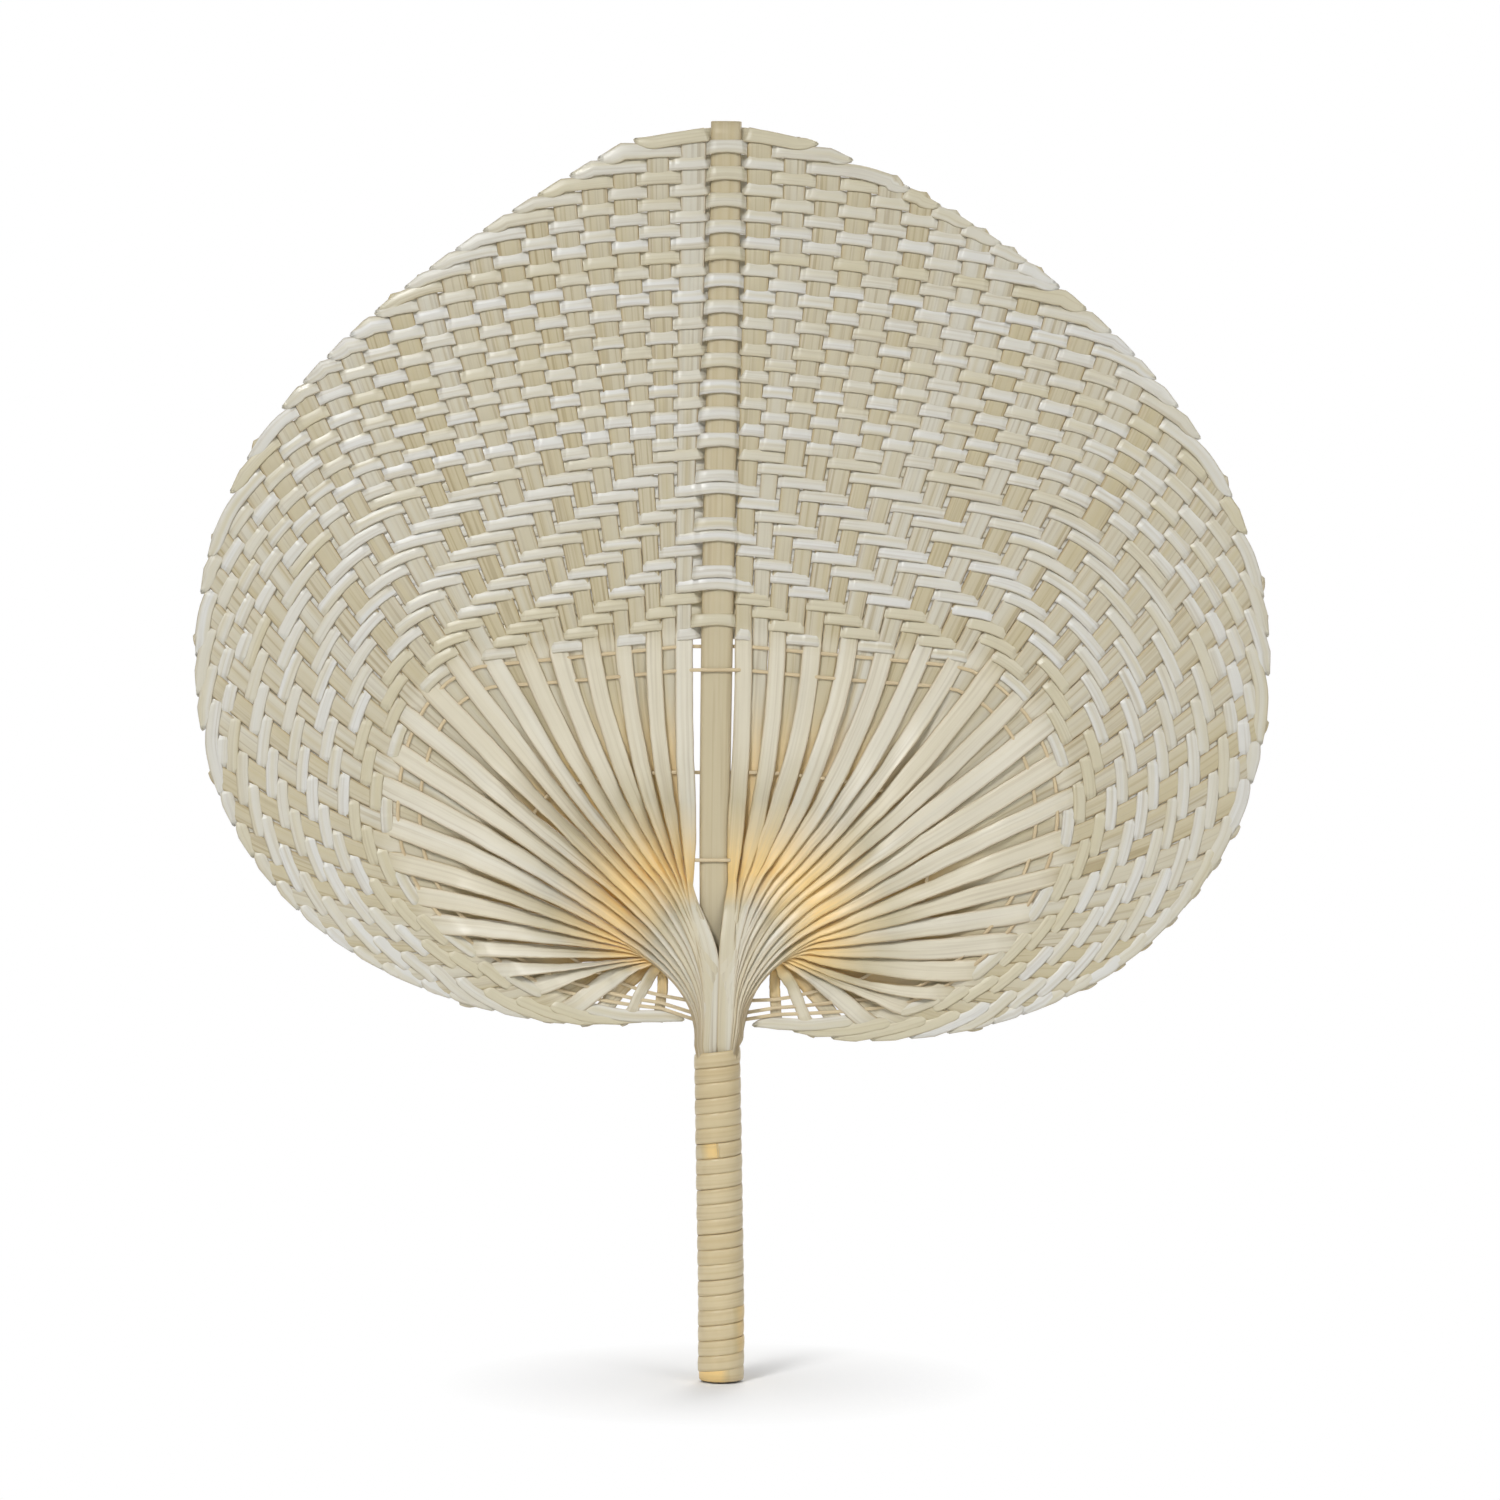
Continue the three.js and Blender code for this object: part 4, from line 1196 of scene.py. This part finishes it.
# %% [markdown]
# ## Ends of a weft
#
# At the rim a weft runs on along the edge as a pointed leaf, then folds round to the back and is tucked
# in there, along the way it came. A fold pulls a strip narrower and makes its edges lag behind the
# middle. The front stretch tilts a little upwards, so that each weft overlaps the one below like a
# roof tile.

# %% Run out, fold and tilt
RUN_OUT_AT = np.array([1.5, 3.2, 5.0, 6.6])
RUN_OUT_SHRINK = np.array([0.97, 0.86, 0.64, 0.32])
RUN_OUT_SINK = np.array([0.0, 0.08, 0.25, 0.5])
FOLD_BACK = 0.8
FOLD_STEPS = np.linspace(0.0, math.pi, 7)
FOLD_BULGE = 0.45
FOLD_LAG = 0.3
TUCK_LENGTH = 8.0
TUCK_PARTS = (0.25, 0.6, 1)
TUCK_LEAN = 0.15
FOLD_WIDTHS = np.concatenate([np.linspace(0.97, 0.86, 4), np.linspace(0.86, 0.95, 3), [0.97, 0.97, 0.94]])
FOLD_PULLS = np.concatenate([np.linspace(0.6, 1.0, 4), np.linspace(0.95, 0.6, 3), [0.2, 0.0, 0.0]])
WEFT_TILT = 0.19


def run_out(half, middle, wide):
    on_rim, outwards = near_rim(half, middle[-1, [0, 2]], RUN_OUT_AT)
    flat = on_rim - outwards * (wide[-1] * RUN_OUT_SHRINK / 2 + RIM_MARGIN)[:, None]
    ends = np.stack([flat[:, 0], middle[-1, 1] + RUN_OUT_SINK, flat[:, 1]], axis=1)
    return np.vstack([middle, ends]), np.concatenate([wide, wide[-1] * RUN_OUT_SHRINK])


def folded(middle, face, wide, lag, tuck_way):
    way = middle[-1] - middle[-2]
    way[1] = 0.0
    way /= np.linalg.norm(way)
    start = middle[-1]
    radius = (FOLD_BACK - start[1]) / 2
    bulge = min(radius, FOLD_BULGE)
    arc = [start + way * bulge * math.sin(a) + [0, radius * (1 - math.cos(a)), 0] for a in FOLD_STEPS]
    arc_face = [way * math.sin(a) + FRONT * math.cos(a) for a in FOLD_STEPS]
    tuck = [arc[-1] - tuck_way * (TUCK_LENGTH * part) for part in TUCK_PARTS]
    return (np.vstack([middle, arc, tuck]), np.vstack([face, arc_face, [-FRONT] * len(tuck)]),
            np.concatenate([wide, wide[-1] * FOLD_WIDTHS]),
            np.vstack([lag, -way[None, :] * FOLD_PULLS[:, None] * wide[-1] * FOLD_LAG]))


def tuck_heading(crossing, neighbour):
    way = crossing[:2] - neighbour[:2]
    way = way / np.linalg.norm(way) + crossing[4:6] * TUCK_LEAN
    return np.array([way[0], 0.0, way[1]])


def tilted_up(middle):
    way = np.gradient(middle, axis=0)
    across = np.stack([way[:, 2], -way[:, 0]], axis=1)
    across /= np.linalg.norm(across, axis=1, keepdims=True)
    across *= np.sign(across[:, 1:2])
    tilt = WEFT_TILT * across[:, 1]
    return np.stack([across[:, 0] * np.sin(tilt), -np.cos(tilt), across[:, 1] * np.sin(tilt)], axis=1)


print("stations in a fold:", len(FOLD_WIDTHS))

# %% [markdown]
# ## Make the weft strips
#
# Every weft is cut a little wider or narrower than the next and swells along its length. Most are pale
# and a few are warmer, so the tone is drawn with a power. About two wefts together stand for one solid,
# the one at the same distance from the ring.

# %% Make the weft strips
BANDS = 19
BAND_DISTANCE = 7.46
WEFT_THICKNESS = 0.26
WEFT_CROWN = 0.25
WEFT_UNEVENNESS = 0.03
WEFT_SWELLS = 9
PALE_POWER = 1.6


def add_weft(strips, weft):
    middle, wide, rows = weft_path(weft)
    own_width = 1 + WEFT_UNEVENNESS * rng.uniform(-1, 1)
    swell = 1 + WEFT_UNEVENNESS * np.sin(np.linspace(0, WEFT_SWELLS, len(wide)) + weft)
    middle, wide = run_out(HALVES["right"], middle, wide * own_width * swell)
    middle, wide = run_out(HALVES["left"], middle[::-1], wide[::-1])
    left_way, right_way = tuck_heading(rows[0], rows[1]), tuck_heading(rows[-1], rows[-2])
    left_end = folded(middle, tilted_up(middle), wide, np.zeros_like(middle), left_way)
    turned = [values[::-1] for values in left_end]
    middle, face, wide, lag = folded(*turned, right_way)
    tone = rng.uniform(0.0, 1.0) ** PALE_POWER
    strips.add(middle, face, wide / 2, WEFT_THICKNESS, WEFT_CROWN, tone, lag=lag)


def band_of(weft):
    return min(BANDS - 1, int(WEFT_AT[weft] / BAND_DISTANCE))


band_pieces = []
for band in range(BANDS):
    strips = Strips()
    for weft in range(WEFTS):
        if band_of(weft) == band:
            add_weft(strips, weft)
    node = f"weave_band_{band + 1:02d}"
    band_pieces.append(make_piece(node + "_strips", strips, node, "band"))
print("weft pieces:", len(band_pieces), "faces:", faces_in(band_pieces))

# %% [markdown]
# ## Ties
#
# Four thin sticks hold the open ribs apart. Each passes behind the front ribs and before the back ribs,
# so only short brown dashes of it show between the front ones. At the spine two pass in front of it and
# two behind it. The upper three follow the ribs all the way down, and their ends run on to the neck. One
# station at each rib keeps a stick smooth.

# %% Make the ties
STICK_HALF_WIDTH = 0.52
STICK_THICKNESS = 0.7
STICK_CROWN = 0.05
STICK_TONE = 0.5
STICK_GAP = 0.4
STICK_OVER_SPINE = (-4.6, -2.0, 2.0, 4.6)
SHORT_RIB_INSET = 0.2
FOOT_RISE = 0.2
NECK_HALF_WIDTH, NECK_FLARES_FROM, NECK_FLARE = 5.0, 97.0, 0.3
NECK_PARTS = (0.25, 0.5, 0.75, 1.0)
TIES = {
    "ring_tie_splint": dict(inset=1.2, share=None, ribs=WARPS, spine_side=1, neck=103.0),
    "second_tie_splint": dict(inset=8.0, share=None, ribs=WARPS, spine_side=-1, neck=105.0),
    "middle_tie_splint": dict(inset=None, share=0.45, ribs=WARPS, spine_side=1, neck=108.5),
    "throat_tie_splint": dict(inset=None, share=0.08, ribs=14, spine_side=-1, neck=None),
}


def tie_places(half, tie):
    places = []
    for route in half["warps"][:tie["ribs"]]:
        rib = route["rib"]
        if tie["share"] is None:
            places.append(rib.place(rib.length - min(tie["inset"], SHORT_RIB_INSET * rib.length)))
        else:
            places.append(rib.place(rib.length * (tie["share"] + FOOT_RISE * route["foot"])))
    if tie["neck"]:
        last = places[-1]
        neck_out = NECK_HALF_WIDTH + (tie["neck"] - NECK_FLARES_FROM) * NECK_FLARE
        neck = np.array([neck_out, tie["neck"]])
        places.extend(last + (neck - last) * part for part in NECK_PARTS)
    return np.array(places)


def add_tie(strips, tie):
    left, right = (tie_places(half, tie) for half in HALVES.values())
    height = (left[0, 1] + right[0, 1]) / 2
    sway = float(spine_sway(height))
    depth = tie["spine_side"] * (SPINE_THICKNESS / 2 + STICK_GAP)
    middle = np.vstack([
        np.stack([-left[::-1, 0], np.zeros(len(left)), left[::-1, 1]], axis=1),
        np.array([[out + sway, depth, height] for out in STICK_OVER_SPINE]),
        np.stack([right[:, 0], np.zeros(len(right)), right[:, 1]], axis=1),
    ])
    strips.add(middle, FRONT, STICK_HALF_WIDTH, STICK_THICKNESS, STICK_CROWN, STICK_TONE)


for node, tie in TIES.items():
    strips = Strips()
    add_tie(strips, tie)
    piece = make_piece(node + "_stick", strips, node, "tie")
    print(node, "faces:", faces_in([piece]))

# %% [markdown]
# ## Handle binding
#
# Two strips are wound round the bundle, one turn tight above the other. The first turn lies level at
# the butt, with its start a little deeper, and on the front the turns rise a little to the right. The
# butt and a patch on one side have turned golden in the hand, and the end of the first strip, where the
# second one begins, is golden too. A helix with small uneven waves looks wound by hand.

# %% Wind the handle
HANDLE_TOP = 96.0
BINDING_RADIUS = 6.42
BINDING_PITCH = 4.32
BINDING_HALF_WIDTH = 2.18
BINDING_THICKNESS = 0.5
BINDING_CROWN = 0.13
BINDING_START = 0.5
BINDING_STRIP = 3.85
BINDING_FOOT = BINDING_START + BINDING_STRIP / 2
BINDING_TURNS = (HANDLE_TOP - BINDING_START - BINDING_STRIP) / BINDING_PITCH
STATIONS_A_TURN = 28
HEIGHT_WAVES = ((0.06, 2.1), (0.05, 5.3))
RADIUS_WAVE, RADIUS_WAVE_RATE = 0.05, 3.7
START_SUNK, START_SUNK_BEFORE, START_SUNK_RUN = 0.25, 0.2, 0.4
PLAIN_AGE = -0.15
BUTT_GOLD, BUTT_TOP, BUTT_FADE = 0.85, 3.5, 1.5
BUTT_SIDE, BUTT_SIDE_FADE = 0.45, 0.5
JOINT_GOLD_LENGTH, JOINT_GOLD_FADE = 0.15, 0.1
PATCH_GOLD, PATCH_FOOT, PATCH_TOP, PATCH_FADE = 0.6, 8, 24, 2
PATCH_SIDE, PATCH_SIDE_FADE = 0.55, 0.3
BINDINGS = {
    "lower_handle_binding": dict(first=-1.0, last=14.75, tone=0.35, end_gold=0.8),
    "upper_handle_binding": dict(first=14.74, last=BINDING_TURNS, tone=0.55, end_gold=0.0),
}


def binding_age(turns, to_right, height, binding):
    butt = (BUTT_GOLD * smooth((BUTT_SIDE - to_right) / BUTT_SIDE_FADE)
            * (1 - smooth((height - BUTT_TOP) / BUTT_FADE)) + PLAIN_AGE)
    to_end = turns - binding["last"]
    joint = binding["end_gold"] * smooth((to_end + JOINT_GOLD_LENGTH) / JOINT_GOLD_FADE)
    patch = (PATCH_GOLD * smooth((to_right - PATCH_SIDE) / PATCH_SIDE_FADE)
             * smooth((height - PATCH_FOOT) / PATCH_FADE) * smooth((PATCH_TOP - height) / PATCH_FADE))
    return np.clip(butt + joint + patch, -1.0, 1.0)


def add_binding(strips, binding):
    first, last = binding["first"], binding["last"]
    turns = np.linspace(first, last, int((last - first) * STATIONS_A_TURN))
    angle = turns * 2 * math.pi
    uneven = sum(size * np.sin(turns * rate) for size, rate in HEIGHT_WAVES)
    sunk = START_SUNK * (1 - smooth((turns + START_SUNK_BEFORE) / START_SUNK_RUN))
    radius = BINDING_RADIUS + RADIUS_WAVE * np.sin(turns * RADIUS_WAVE_RATE) - sunk
    height = BINDING_FOOT + np.maximum(turns, 0.0) * BINDING_PITCH + uneven
    face = np.stack([np.cos(angle), np.sin(angle), np.zeros(len(angle))], axis=1)
    middle = face * radius[:, None]
    middle[:, 0] += spine_sway(height)
    middle[:, 2] = height
    age = binding_age(turns, face[:, 0], height, binding)
    strips.add(middle, face, BINDING_HALF_WIDTH, BINDING_THICKNESS, BINDING_CROWN, binding["tone"], age)


for node, binding in BINDINGS.items():
    strips = Strips()
    add_binding(strips, binding)
    piece = make_piece(node + "_strip", strips, node, "binding")
    print(node, "faces:", faces_in([piece]))

# %% [markdown]
# ## Floor
#
# The fan stands on its butt on a white floor. Away from the handle the floor glows white where it is
# seen, so no edge or horizon shows, but close to the handle it keeps the soft shadow. Only the camera,
# reflections and clear things see the glow, so it adds no soft light from below.

# %% Make the floor
WHITE = (1.0, 1.0, 1.0, 1.0)
FLOOR_PAINT = (0.93, 0.93, 0.93, 1.0)
FLOOR_ROUGHNESS = 0.9
FLOOR_RADIUS = 6.0
FLOOR_CORNERS = 96
FLOOR_HEIGHT = -0.0004
SHADOW_FADE = (0.015, 0.08)


def seen_directly(bench):
    rays = bench.add("ShaderNodeLightPath", {}).outputs
    seen = bench.calc("MAXIMUM", rays["Is Camera Ray"], rays["Is Transmission Ray"])
    return bench.calc("MAXIMUM", seen, rays["Is Glossy Ray"])


def make_floor():
    bpy.ops.mesh.primitive_circle_add(
        vertices=FLOOR_CORNERS, radius=FLOOR_RADIUS, fill_type="NGON", location=(0, 0, FLOOR_HEIGHT))
    floor = bpy.context.object
    floor.name = "floor"
    material = bpy.data.materials.new("white floor")
    material.use_nodes = True
    bench = NodeBench(material.node_tree)
    matte = bench.nodes["Principled BSDF"]
    bench.put(matte.inputs["Base Color"], FLOOR_PAINT)
    bench.put(matte.inputs["Roughness"], FLOOR_ROUGHNESS)
    glow = bench.add("ShaderNodeEmission", {"Color": WHITE})
    away = bench.length(bench.add("ShaderNodeTexCoord", {}).outputs["Object"])
    part = bench.calc("MULTIPLY", bench.ranged(away, *SHADOW_FADE), seen_directly(bench))
    blend = bench.add("ShaderNodeMixShader", {0: part, 1: matte.outputs[0], 2: glow.outputs[0]})
    bench.put(bench.nodes["Material Output"].inputs["Surface"], blend.outputs[0])
    floor.data.materials.append(material)
    return floor


print("floor:", make_floor().name)

# %% [markdown]
# ## Light and surroundings
#
# A white room gives soft light from all sides, and looks fully white only to the camera, to reflections
# and through clear things. A key lamp above and to the left, with a narrow spread, brings out the relief
# of the weave. A wide lamp at the upper right lights the grooves between the ribs, and one behind the
# fan keeps the back from going dull.

# %% Make the light
ROOM_LIGHT = 0.272
scene = bpy.context.scene
scene.view_settings.view_transform = "Standard"


def make_surroundings(strength):
    world = bpy.data.worlds.new("white room")
    world.use_nodes = True
    bench = NodeBench(world.node_tree)
    soft = bench.nodes["Background"]
    bench.put(soft.inputs["Color"], WHITE)
    bench.put(soft.inputs["Strength"], strength)
    white = bench.add("ShaderNodeBackground", {"Color": WHITE, "Strength": 1.0})
    inputs = {0: seen_directly(bench), 1: soft.outputs[0], 2: white.outputs[0]}
    blend = bench.add("ShaderNodeMixShader", inputs)
    bench.put(bench.nodes["World Output"].inputs["Surface"], blend.outputs[0])
    scene.world = world


def make_lamp(name, place, aim, size, watts, spread=180):
    data = bpy.data.lights.new(name, "AREA")
    data.shape = "DISK"
    data.size = size
    data.energy = watts
    data.spread = math.radians(spread)
    lamp = bpy.data.objects.new(name, data)
    lamp.location = place
    way = np.array(aim) - np.array(place)
    level = math.hypot(way[0], way[1])
    lamp.rotation_euler = (math.atan2(level, -way[2]), 0.0, math.atan2(-way[0], way[1]))
    scene.collection.objects.link(lamp)


make_surroundings(ROOM_LIGHT)
make_lamp("key", (-1.1, -2.3, 2.0), aim=(0.0, 0.0, -0.3), size=0.8, watts=4.05, spread=48)
make_lamp("fill", (1.4, -1.8, 1.4), aim=(0.0, 0.0, 0.1), size=1.2, watts=11.9)
make_lamp("back", (0.3, 1.6, 1.2), aim=(0.0, 0.0, 0.2), size=1.0, watts=12.0)

# %% [markdown]
# ## Camera
#
# The fan is seen straight from the front, from a good metre away, so its outline is hardly bent by
# perspective. A long lens fills the square frame from there. The camera stands level with the middle of
# the fan and a little to the right of the spine, so the fan lies in the frame as it does in the photo.

# %% Set up the camera
LENS_LENGTH = 100.0
SENSOR_WIDTH = 36.0
CAMERA_PLACE = (0.00887, -1.192, 0.1802)

lens = bpy.data.cameras.new("camera")
lens.lens = LENS_LENGTH
lens.sensor_width = SENSOR_WIDTH
camera = bpy.data.objects.new("camera", lens)
camera.location = CAMERA_PLACE
camera.rotation_euler = (math.pi / 2, 0.0, 0.0)
scene.collection.objects.link(camera)
scene.camera = camera
print("camera at", tuple(round(value, 3) for value in camera.location))

# %% [markdown]
